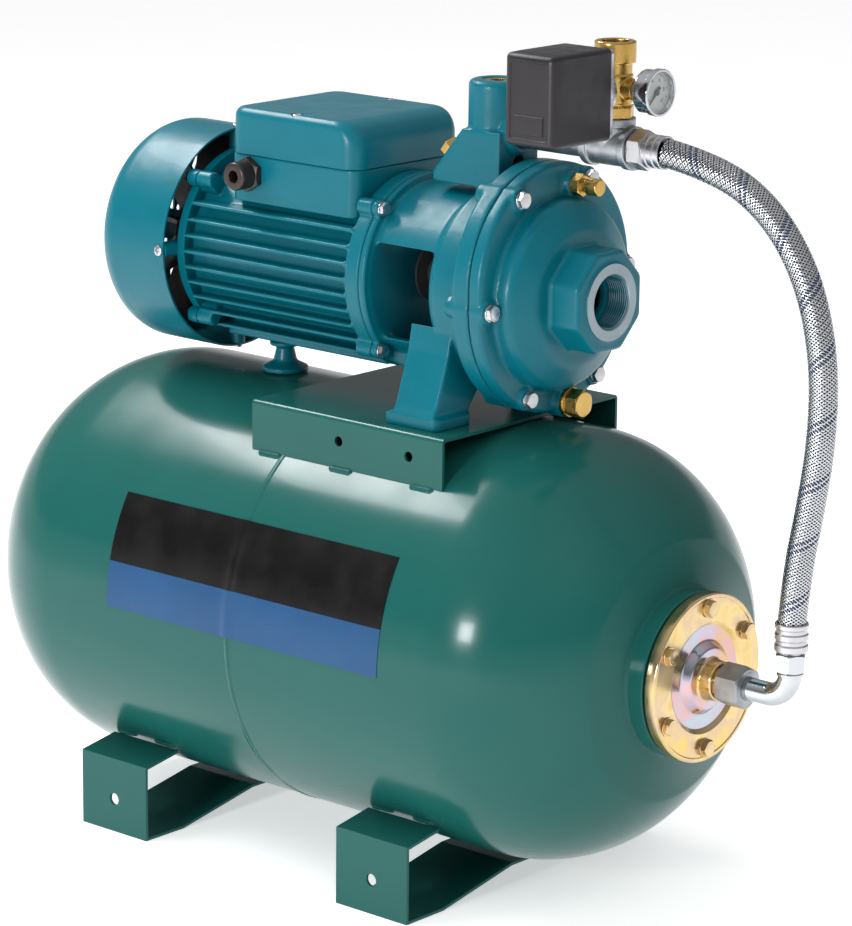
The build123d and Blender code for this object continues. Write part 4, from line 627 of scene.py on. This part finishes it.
def spline_points(route):
    """Points along the smooth curve that has the route's points as its control points."""
    curve = bpy.data.curves.new("hose_line", "CURVE")
    curve.dimensions = "3D"
    line = curve.splines.new("NURBS")
    line.points.add(len(route) - 1)
    for point, place in zip(line.points, route):
        point.co = (*place, 1)
    line.order_u = 3
    line.use_endpoint_u = True
    line.resolution_u = 48
    holder = bpy.data.objects.new("hose_line", curve)
    bpy.context.scene.collection.objects.link(holder)
    points = [v.co.copy() for v in evaluated_mesh(holder).vertices]
    bpy.data.objects.remove(holder)
    return points


def even_points(points, spacing):
    """The same line with points evenly spaced, and the direction at each."""
    lengths = [0.0]
    for a, b in zip(points, points[1:]):
        lengths.append(lengths[-1] + (b - a).length)
    count = max(2, round(lengths[-1] / spacing))
    places, ways = [], []
    at = 0
    for step in range(count + 1):
        target = lengths[-1] * step / count
        while at < len(points) - 2 and lengths[at + 1] < target:
            at += 1
        share = (target - lengths[at]) / max(lengths[at + 1] - lengths[at], 1e-9)
        places.append(points[at].lerp(points[at + 1], min(1.0, share)))
    for step in range(count + 1):
        ways.append((places[min(step + 1, count)] - places[max(step - 1, 0)]).normalized())
    return places, ways, lengths[-1]


def make_hose(fittings):
    """Two sets of flat wire bands that pass over and under each other around a liner."""
    places, ways, length = even_points(spline_points([Vector(p) for p in HOSE_ROUTE]), 1.0 * MM)
    shape = Shape()
    liner = [tube_ring(place, way, HOSE_DIAMETER / 2 - 1.3 * MM, 24)
             for place, way in zip(places[::3], ways[::3])]
    shape.rings(liner, closed_rows=False, mark=2, capped=True)
    count = len(places) - 1
    band = math.tau / CARRIERS * 0.40
    middle_radius = HOSE_DIAMETER / 2 - 0.45 * MM
    for spin in (-1, 1):
        for carrier in range(CARRIERS):
            rows = []
            mark = 1 if spin == 1 and carrier in (0, 2) else 0
            for step in range(count + 1):
                place, way = places[step], ways[step]
                out = Y.cross(way).normalized()
                turn = math.tau * (length * step / count) / BRAID_LEAD
                angle = spin * turn + math.tau * carrier / CARRIERS
                weave = math.cos(turn * CARRIERS + (0 if spin > 0 else math.pi) + math.pi * carrier)
                row = []
                for across in (-1, -0.4, 0.4, 1):
                    a = angle + across * band / 2
                    lift = 0.32 * MM * weave - 0.14 * MM * across * across
                    row.append(place + (out * math.cos(a) + Y * math.sin(a)) * (middle_radius + lift))
                rows.append(row)
            shape.strip(rows, mark)
    hose = shape.piece("hose_braid", "braid", finishes=[FINISH["braid"], TRACER_BLUE, FINISH["rubber"]],
                       replaces=("hose_tube",), smooth=60, weld=False)


# ------------------------------------------------------------------ tank
def barrel_point(x, angle, lift=0.0):
    """A point on the tank's barrel; the angle is 0 at the front and 90 at the top."""
    a = math.radians(angle)
    radius = TANK_RADIUS + lift
    return Vector((x, TANK.y - math.cos(a) * radius, TANK.z + math.sin(a) * radius))


def tank_profile():
    """The tank's outside from the air valve's end to the counter-flange's collar."""
    dome_steps = 40
    outside = []
    for step in range(dome_steps + 1):
        a = math.pi / 2 * step / dome_steps
        outside.append((-HALF_BARREL - DOME_DEPTH * math.cos(a), TANK_RADIUS * math.sin(a)))
    for step in range(1, 12):
        outside.append((-HALF_BARREL + 2 * HALF_BARREL * step / 12, TANK_RADIUS))
    for step in range(dome_steps + 1):
        a = math.pi / 2 * (1 - step / dome_steps)
        station, radius = HALF_BARREL + DOME_DEPTH * math.cos(a), TANK_RADIUS * math.sin(a)
        if station < 348 * MM:
            outside.append((station, radius))
    collar = [(350, 76), (353, 72.5), (366.6, 72.5), (367.6, 71.5), (367.6, 50.5), (330, 50)]
    inside = [(-HALF_BARREL, 40 * MM), (-HALF_BARREL - 60 * MM, 0)]
    return outside + [(station * MM, radius * MM) for station, radius in collar] + inside


def make_tank():
    """The enamelled shell, with the faint waviness of drawn sheet."""
    def waviness(station, angle):
        """How far the sheet stands off a true surface."""
        return 0.10 * MM * noise.noise(Vector((station * 9, math.cos(angle) * 1.4, math.sin(angle) * 1.4)))

    shape = Shape()
    shape.turned(tank_profile(), TANK, X, 160, radial=waviness)
    shape.piece("tank_skin", "tank_paint", replaces=("tank_shell",), smooth=40)


def weld_ring(shape, x, radius, width, height, seed):
    """A weld bead round the tank, built of overlapping ripples."""
    shift = random.Random(seed).random() * 50
    steps = 420
    rows = []
    for k in range(steps):
        angle = math.tau * k / steps
        ripple = 0.75 + 0.25 * math.cos(angle * 190) + 0.35 * noise.noise(Vector((angle * 6, shift, 0)))
        wander = 0.6 * MM * noise.noise(Vector((angle * 3, shift, 4)))
        row = []
        for j in range(8):
            b = math.tau * j / 8
            row.append(Vector((x + wander + math.cos(b) * width / 2 * (0.85 + 0.15 * ripple), 0, 0))
                       + Vector((0, -math.cos(angle), math.sin(angle)))
                       * (radius - 0.4 * MM + math.sin(b) * height * ripple) + Vector((0, 0, TANK.z)))
        rows.append(row)
    shape.rings(rows)


def make_label():
    """A plain two-band label, bent round the barrel, with no lettering."""
    left, right = TANK_X - 0.144, TANK_X + 0.178
    bands = ((12.5, 31.5, LABEL_BLACK), (0.0, 12.5, LABEL_BLUE))
    for index, (low, high, finish) in enumerate(bands):
        shape = Shape()
        rows = []
        for step in range(97):
            x = left + (right - left) * step / 96
            lift = 0.5 * MM + 1.5 * MM * math.exp(-((x - SEAM_X) / (5 * MM)) ** 2)
            front = [barrel_point(x, low + (high - low) * k / 16, lift) for k in range(17)]
            back = [barrel_point(x, low + (high - low) * k / 16, 0.15 * MM) for k in reversed(range(17))]
            rows.append(front + back)
        shape.rings(rows, closed_rows=False, capped=True)
        shape.piece(("label_upper", "label_lower")[index], "tank_paint", finishes=[finish], smooth=50)


def make_tank_welds():
    """The seam round the middle and the beads at the feet and under the platform's sides."""
    shape = Shape()
    weld_ring(shape, SEAM_X, TANK_RADIUS, 6.5 * MM, 1.3 * MM, 3)
    shape.piece("middle_seam", "tank_paint", smooth=60)
    shape = Shape()
    seed = 10
    strap_edge = 124.5 * MM
    for node in ("tank_foot_left", "tank_foot_right"):
        low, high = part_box(node)
        for sign in (-1, 1):
            y = sign * strap_edge
            z = TANK.z - math.sqrt(TANK_RADIUS ** 2 - y * y)
            for x0, x1 in ((low.x + 4 * MM, low.x + 30 * MM), (high.x - 30 * MM, high.x - 4 * MM)):
                seed += 1
                normal = Vector((0, sign * 0.45, -0.9)).normalized()
                weld_line(shape, Vector((x0, y, z)), Vector((x1, y, z)), normal, 7 * MM, 2.2 * MM, seed)
    low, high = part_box("pump_platform")
    for sign in (-1, 1):
        y = sign * (high.y + 1 * MM)
        z = TANK.z + math.sqrt(TANK_RADIUS ** 2 - y * y)
        for share in (0.04, 0.42, 0.84):
            seed += 1
            x0 = low.x + (high.x - low.x) * share
            normal = Vector((0, sign * 0.7, 0.7)).normalized()
            weld_line(shape, Vector((x0, y, z)), Vector((x0 + 26 * MM, y, z)), normal, 7 * MM, 2.4 * MM, seed)
    shape.piece("weld_beads", "tank_paint", smooth=60)


def make_flange():
    """The counter-flange: rolled rim, dish, boss and threaded nipple, with its six bolts."""
    low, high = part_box("tank_flange")
    back = Vector((low.x, 0, TANK.z))
    stations = [(0, 9.2), (0, 73), (11.2, 73), (11.2, 69.5), (10.4, 68.6), (10.4, 48.5), (7.4, 44.5),
                (7.4, 32), (14.2, 26.5), (14.2, 18.2), (26.8, 17), (26.8, 13.2)]
    outline = rounded([(s * MM, r * MM) for s, r in stations],
                      {1: 2 * MM, 2: 2.6 * MM, 3: 0.8 * MM, 4: 0.8 * MM, 5: 2 * MM, 6: 2 * MM, 7: 4 * MM,
                       8: 4 * MM, 9: 2.5 * MM, 10: 2 * MM})
    end = high.x - low.x
    outline += run(27.2 * MM, end - 1 * MM, 13.2 * MM, PITCH_G_3_4 / 8)
    outline += [(end, 12.2 * MM), (end, 9.2 * MM)]
    radii = [r for _, r in outline]
    shape = Shape()
    shape.turned(outline, back, X, 120, radial=thread(PITCH_G_3_4, 1.0 * MM, 27.2 * MM, end),
                 mark=lambda row: 1 if 20 * MM < radii[row] < 47.5 * MM and outline[row][0] > 5 * MM else 0)
    shape.piece("flange_disc", "zinc_yellow", finishes=[FINISH["zinc_yellow"], DISH_SHEEN],
                replaces=("tank_flange",), smooth=40)
    shape = Shape()
    for index, (low, high) in enumerate(solids("flange_bolts")):
        seat = level_point(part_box("flange_bolts")[1].x - 5.5 * MM, low, high)
        add_bolt(shape, seat - X * 0.6 * MM, X, 13 * MM, 6.1 * MM, 8.2 * MM, twist=index * 0.31)
    shape.piece("flange_bolt_heads", "zinc_yellow", replaces=("flange_bolts",), smooth=25)


def make_small_bolts():
    """The pump cover's and the motor's hexagon bolts, and the pan-head screws."""
    shape = Shape()
    for index, (low, high) in enumerate(solids("cover_bolts")):
        seat = level_point(high.x - 5.5 * MM, low, high)
        add_bolt(shape, seat, X, 13 * MM, 5.5 * MM, 7.6 * MM, twist=index * 0.37)
    shape.piece("cover_bolt_heads", "zinc", replaces=("cover_bolts",), smooth=25)
    shape = Shape()
    boxes = solids("motor_bolts")
    middle_x = sum(low.x + high.x for low, high in boxes) / 2 / len(boxes)
    for index, (low, high) in enumerate(boxes):
        twist = index * 0.43
        if (low.x + high.x) / 2 > middle_x:
            add_bolt(shape, level_point(high.x - 5 * MM, low, high), X, 10 * MM, 5 * MM, 6.4 * MM, twist)
        else:
            add_bolt(shape, level_point(low.x + 4.5 * MM, low, high), -X, 10 * MM, 4.5 * MM, twist=twist)
    shape.piece("motor_bolt_heads", "zinc", replaces=("motor_bolts",), smooth=25)
    shape = Shape()
    cover_end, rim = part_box("fan_cover")[1].xy
    for low, high in solids("housing_screws"):
        place = (low + high) / 2
        if place.x < cover_end:
            out = Vector((0, place.y, place.z - SHAFT.z)).normalized()
            pan_head(shape, Vector((place.x, 0, SHAFT.z)) + out * (rim + 0.05 * MM), out, 4.6 * MM, 2.5 * MM)
        else:
            pan_head(shape, Vector((place.x, place.y, high.z - 0.6 * MM)), Z, 4.6 * MM, 3 * MM)
    shape.piece("pan_screws", "zinc", replaces=("housing_screws",), smooth=30)


def box_rings(low, high, corner, soft, far_soft):
    """Rings up a rounded box; its +X upper edge has the radius far_soft and the others soft."""
    rows = []
    levels = [low.z, low.z + 0.6 * MM]
    for k in range(1, 5):
        levels.append(low.z + 0.6 * MM + (high.z - far_soft - low.z - 0.6 * MM) * k / 4)
    for k in range(1, 17):
        levels.append(high.z - far_soft + far_soft * math.sin(math.pi / 2 * k / 16))
    for index, z in enumerate(levels):
        over = max(0.0, z - (high.z - soft))
        near = soft - math.sqrt(max(0.0, soft ** 2 - over ** 2))
        over = max(0.0, z - (high.z - far_soft))
        far = far_soft - math.sqrt(max(0.0, far_soft ** 2 - over ** 2))
        draft = (z - low.z) * 0.012 + (0.6 * MM if index == 0 else 0.0)
        near, far = near + draft, far + draft
        x0, x1, y0, y1 = low.x + near, high.x - far, low.y + near, high.y - near
        ring = corner_ring(x0, x1, y0, y1, max(corner - near, 5 * MM), 12)
        rows.append([Vector((x, y, z)) for x, y in ring])
    top = rows[-1]
    heart = sum(top, Vector()) / len(top)
    for share in (0.96, 0.85, 0.6):
        rows.append([heart + (p - heart) * share for p in top])
    return rows


def make_terminal_box():
    """The terminal box's lid with two screw wells, and the cable gland."""
    low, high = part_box("terminal_lid")
    shape = Shape()
    shape.rings(box_rings(low, high, 17 * MM, 8 * MM, 22 * MM), closed_rows=False, capped=True)
    lid = shape.piece("box_lid", "pump_paint", replaces=("terminal_lid",), smooth=40)
    cutters = []
    for screw_low, screw_high in solids("housing_screws"):
        place = (screw_low + screw_high) / 2
        if place.x >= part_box("fan_cover")[1].x:
            well = Shape()
            well.turned([(-2.6 * MM, 0), (-2.6 * MM, 5.5 * MM), (0, 5.5 * MM), (8 * MM, 5.5 * MM),
                         (8 * MM, 0)], Vector((place.x, place.y, high.z)), Z, 48)
            cutters.append(cutter(well))
    carve(lid, cutters, 40)
    low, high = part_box("cable_gland")
    centre = Vector(((low.x + high.x) / 2, high.y, (low.z + high.z) / 2))
    shape = Shape()
    shape.hexagon(centre - Y * 7.2 * MM, -Y, 6.8 * MM, 27 * MM, bore=6 * MM)
    shape.turned(rounded([(0, 5 * MM), (0, 8 * MM), (13 * MM, 8 * MM), (13 * MM, 12.6 * MM),
                          (29 * MM, 12.6 * MM), (29 * MM, 5.6 * MM), (24 * MM, 5 * MM)],
                         {4: 6 * MM, 5: 0.8 * MM}), centre, -Y, 96,
                 radial=lambda s, a: 0.8 * MM * abs(math.cos(8 * a)) if 14 * MM < s < 24 * MM else 0.0)
    shape.piece("gland_nut", "black_plastic", finishes=[GLAND_BLACK], replaces=("cable_gland",), smooth=25)


def cutter(shape):
    """A hidden solid to be cut out of a piece."""
    mesh = bpy.data.meshes.new("cutter")
    mesh.from_pydata([tuple(p) for p in shape.points], [], shape.faces)
    tidy_mesh(mesh, 30)
    made = bpy.data.objects.new("cutter", mesh)
    bpy.context.scene.collection.objects.link(made)
    return made


def carve(made, cutters, smooth):
    """Cuts the cutters out of a piece and removes them."""
    for tool in cutters:
        change = made.modifiers.new("cut", "BOOLEAN")
        change.operation = "DIFFERENCE"
        change.solver = "EXACT"
        change.object = tool
    mesh = evaluated_mesh(made)
    made.modifiers.clear()
    made.data = mesh
    for tool in cutters:
        bpy.data.objects.remove(tool)
    mesh.shade_smooth()
    mesh.set_sharp_from_angle(angle=math.radians(smooth))


def make_port():
    """The machined ring and thread of the suction port."""
    face = Vector((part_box("pump_cover")[1].x, 0, SHAFT.z))
    outline = [(0.35 * MM, 33 * MM), (0.35 * MM, 24.2 * MM)]
    outline += run(-1.2 * MM, -24 * MM, 23.2 * MM, PITCH_G_1_1_2 / 8)
    outline += [(-24 * MM, 24.6 * MM), (-1 * MM, 33 * MM)]
    shape = Shape()
    shape.turned(outline, face, X, 120, radial=thread(PITCH_G_1_1_2, 1.1 * MM, -24 * MM, -1.4 * MM))
    shape.piece("suction_thread", "cast_iron", finishes=[MACHINED_IRON], smooth=40)


def make_plugs():
    """The vent plug with its knurled knob and the drain plug with its collar."""
    low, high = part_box("vent_plug")
    seat = level_point(low.x + 9 * MM, low, high)
    shape = Shape()
    shape.hexagon(seat + X * 0.1 * MM, X, 9 * MM, 17 * MM, bore=5.5 * MM)
    shape.turned(rounded([(0, 0), (0, 6 * MM), (14 * MM, 6 * MM), (14 * MM, 7.3 * MM), (26.8 * MM, 7.3 * MM),
                          (26.8 * MM, 0)], {3: 0.6 * MM, 4: 1.4 * MM}), seat, X, 144,
                 radial=lambda s, a: 0.25 * MM * math.cos(36 * a) if 14.5 * MM < s < 25 * MM else 0.0)
    shape.piece("vent_knob", "brass", replaces=("vent_plug",), smooth=25)
    low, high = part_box("drain_plug")
    seat = level_point(low.x + 9 * MM, low, high)
    shape = Shape()
    shape.turned(rounded([(0.1 * MM, 0), (0.1 * MM, 13.4 * MM), (3.8 * MM, 13.4 * MM), (3.8 * MM, 0)],
                         {1: 0.5 * MM, 2: 1 * MM}), seat, X, 96)
    shape.hexagon(seat + X * 3.4 * MM, X, 13.6 * MM, 22 * MM)
    shape.piece("drain_head", "brass", replaces=("drain_plug",), smooth=25)


def make_manifold_pieces():
    """The hose's nut and ferrules, the chromed elbow and its nut; returns the nut and the ferrules."""
    low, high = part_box("hose_upper_nut")
    centre = Vector((0, 0, TEE_Z))
    nut = Shape()
    nut.hexagon(centre + X * (high.x - 14.7 * MM), X, 14.6 * MM, 30 * MM, bore=9.5 * MM, both=True)
    nut.turned([(low.x, 9.6 * MM), (low.x, 13.1 * MM), (high.x - 14 * MM, 13.1 * MM),
                (high.x - 14 * MM, 9.6 * MM)], centre, X, 64)
    upper_nut = nut.piece("hose_nut", "zinc", replaces=("hose_upper_nut",), smooth=25)

    sleeve_length, lower_stretch = 18.9, 1.35
    sleeve = [(0, 9), (0, 12.2), (1.6, 14.1), (5, 14.2), (6, 13.2), (8, 13.2), (9, 14.2), (12, 14.2),
              (13, 13.2), (15, 13.2), (16, 14.2), (18.2, 14.2), (sleeve_length, 13.5), (sleeve_length, 12.6),
              (12, 12.5), (12, 9)]
    pair = Shape()
    pair.turned([(s * MM, r * MM) for s, r in sleeve], centre + X * (HOSE_X0 - sleeve_length * MM), X, 96)
    elbow_x, _, hose_end = HOSE_ROUTE[-1]
    pair.turned([(s * lower_stretch * MM, r * MM) for s, r in sleeve],
                Vector((elbow_x, 0, hose_end - sleeve_length * lower_stretch * MM)), Z, 96)
    ferrules = pair.piece("crimp_ferrules", "zinc", replaces=("hose_ferrules",))

    low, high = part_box("hose_elbow")
    bend = 22 * MM
    places = [Vector((low.x, 0, TANK.z)), Vector((elbow_x - bend, 0, TANK.z))]
    for k in range(1, 17):
        a = math.radians(90 * k / 16)
        places.append(Vector((elbow_x - bend + bend * math.sin(a), 0, TANK.z + bend - bend * math.cos(a))))
    places.append(Vector((elbow_x, 0, high.z)))
    shape = Shape()
    swept(shape, places, 10 * MM)
    shape.hexagon(Vector((elbow_x, 0, high.z - 16 * MM)), Z, 15.8 * MM, 24 * MM, both=True)
    shape.turned(rounded([(0, 9 * MM), (0, 11.4 * MM), (3 * MM, 11.4 * MM), (3 * MM, 9 * MM)],
                         {1: 0.8 * MM, 2: 0.8 * MM}), Vector((elbow_x, 0, high.z - 19.5 * MM)), Z, 64)
    shape.piece("elbow_tube", "chrome", replaces=("hose_elbow",), smooth=25)

    low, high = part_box("elbow_nut")
    shape = Shape()
    shape.hexagon(Vector((low.x, 0, TANK.z)), X, high.x - low.x, 33 * MM, bore=13.4 * MM, both=True)
    shape.turned(rounded([(0, 10.2 * MM), (0, 15 * MM), (2.2 * MM, 13.4 * MM), (2.2 * MM, 10.2 * MM)],
                         {2: 0.8 * MM}), Vector((high.x - 2 * MM, 0, TANK.z)), X, 64)
    shape.piece("union_nut", "chrome", finishes=[FINISH["galvanised"]], replaces=("elbow_nut",), smooth=25)
    return [upper_nut, ferrules]


def make_gauge():
    """The dial with its scale and figures; the case, pointer and lens stay as designed."""
    low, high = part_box("gauge_dial")
    centre = Vector((high.x, 0, (low.z + high.z) / 2))
    radius = (high.y - low.y) / 2
    first, sweep = 225, 270
    print_lift = X * 0.12 * MM
    shape = Shape()
    shape.turned([(-8 * MM, 1.3 * MM), (-8 * MM, 5.9 * MM), (-1 * MM, 6 * MM), (-1 * MM, radius), (0, radius),
                  (0, 1.3 * MM)], centre, X, 96)
    shape.piece("dial_plate", "dial_white", replaces=("gauge_dial",))
    marks = Shape()
    for k in range(51):
        a = math.radians(first - sweep * k / 50)
        out = Vector((0, math.cos(a), math.sin(a)))
        side = Vector((0, -math.sin(a), math.cos(a)))
        long_mark = k % 5 == 0
        inner = radius * (0.80 if long_mark else 0.86)
        half = (0.32 if long_mark else 0.16) * MM
        at = centre + print_lift
        marks.strip([[at + out * inner - side * half, at + out * inner + side * half],
                     [at + out * radius * 0.93 - side * half, at + out * radius * 0.93 + side * half]])
    marks.piece("dial_scale", "pointer_black", weld=False)
    for k in range(0, 11, 2):
        a = math.radians(first - sweep * k / 10)
        text = bpy.data.curves.new("figure", "FONT")
        text.body = str(k)
        text.size = 5.2 * MM
        text.align_x, text.align_y = "CENTER", "CENTER"
        holder = bpy.data.objects.new("figure", text)
        bpy.context.scene.collection.objects.link(holder)
        mesh = evaluated_mesh(holder)
        bpy.data.objects.remove(holder)
        place = centre + print_lift + Vector((0, math.cos(a), math.sin(a))) * radius * 0.62
        mesh.transform(Matrix(((0, 0, 1, place.x), (1, 0, 0, place.y), (0, 1, 0, place.z), (0, 0, 0, 1))))
        mesh.materials.clear()
        mesh.materials.append(FINISH["pointer_black"])
        figure = bpy.data.objects.new("dial_figure_%d" % k, mesh)
        bpy.context.scene.collection.objects.link(figure)
        settle(figure)


def make_switch():
    """The switch cover: bevelled box with a raised border and a blank raised panel."""
    low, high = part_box("switch_cover")
    rows = []
    depth = (high.y - low.y) / MM
    for inset, back in ((1.2, 0), (0.2, 0.6), (0, 3), (0, 20), (0, 40), (0, 60), (0.3, depth - 4.2),
                        (1.0, depth - 2.4), (2.6, depth - 0.9), (4.6, depth), (6.2, depth - 0.1),
                        (7.0, depth - 0.9), (8.4, depth - 0.9)):
        inset, y = inset * MM, high.y - back * MM
        turn = max(4 * MM - inset * 0.3, 2 * MM)
        ring = corner_ring(low.x + inset, high.x - inset, low.z + inset, high.z - inset, turn, 8)
        rows.append([Vector((x, y, z)) for x, z in ring])
    shape = Shape()
    shape.rings(rows, closed_rows=False, capped=True)
    x0, x1 = low.x + 11 * MM, high.x - 11 * MM
    z0, z1 = low.z + 10 * MM, low.z + 26 * MM
    face = low.y + 0.9 * MM
    panel = []
    for inset, lift in ((0, -0.5), (0, 0.5), (0.5, 0.9), (1.5, 0.95)):
        i = inset * MM
        panel.append([Vector((x, face - lift * MM, z)) for x, z in
                      ((x0 + i, z0 + i), (x1 - i, z0 + i), (x1 - i, z1 - i), (x0 + i, z1 - i))])
    shape.rings(panel, closed_rows=False, capped=True)
    shape.piece("switch_box", "black_plastic", replaces=("switch_cover",), smooth=28)


# ------------------------------------------------------------------ run
make_camera()
make_studio()
make_tank()
make_tank_welds()
make_label()
make_flange()
make_small_bolts()
make_terminal_box()
make_port()
make_plugs()
make_gauge()
make_switch()
make_hose(make_manifold_pieces())

for name, node, slot, voxel, rounds in (
        ("pump_body_casting", "pump_body", "pump_paint", 1.5, 5),
        ("pump_cover_casting", "pump_cover", "pump_paint", 1.5, 5),
        ("lantern_casting", "lantern", "pump_paint", 1.5, 4),
        ("motor_housing_casting", "motor_housing", "pump_paint", 1.3, 3),
        ("motor_leg_casting", "motor_leg", "pump_paint", 0.8, 4),
        ("terminal_box_casting", "terminal_box", "pump_paint", 1.1, 3),
        ("tee_casting", "manifold_tee", "galvanised", 0.6, 4),
        ("five_way_casting", "five_way", "brass", 0.6, 3)):
    casting(name, node, slot, voxel * MM, rounds)

EDGES = {"fan_cover": 1.0, "rear_shield": 0.8, "gauge_case": 0.4, "switch_base": 0.6, "blanking_plugs": 0.5,
         "switch_glands": 0.5, "air_valve": 0.4, "platform_bolts": 0.5, "tank_foot_left": 0.5,
         "tank_foot_right": 0.5, "pump_platform": 0.5}
replaced = {node for made in bpy.data.objects for node in (made.get("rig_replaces") or [])}
slots = {row["node"]: row["material_slot"] for row in frame["record"]["subparts"]}
for node in sorted(set(frame["nodes"]) - replaced):
    dress(node, FINISH[slots[node]], EDGES.get(node, 0.0) * MM)
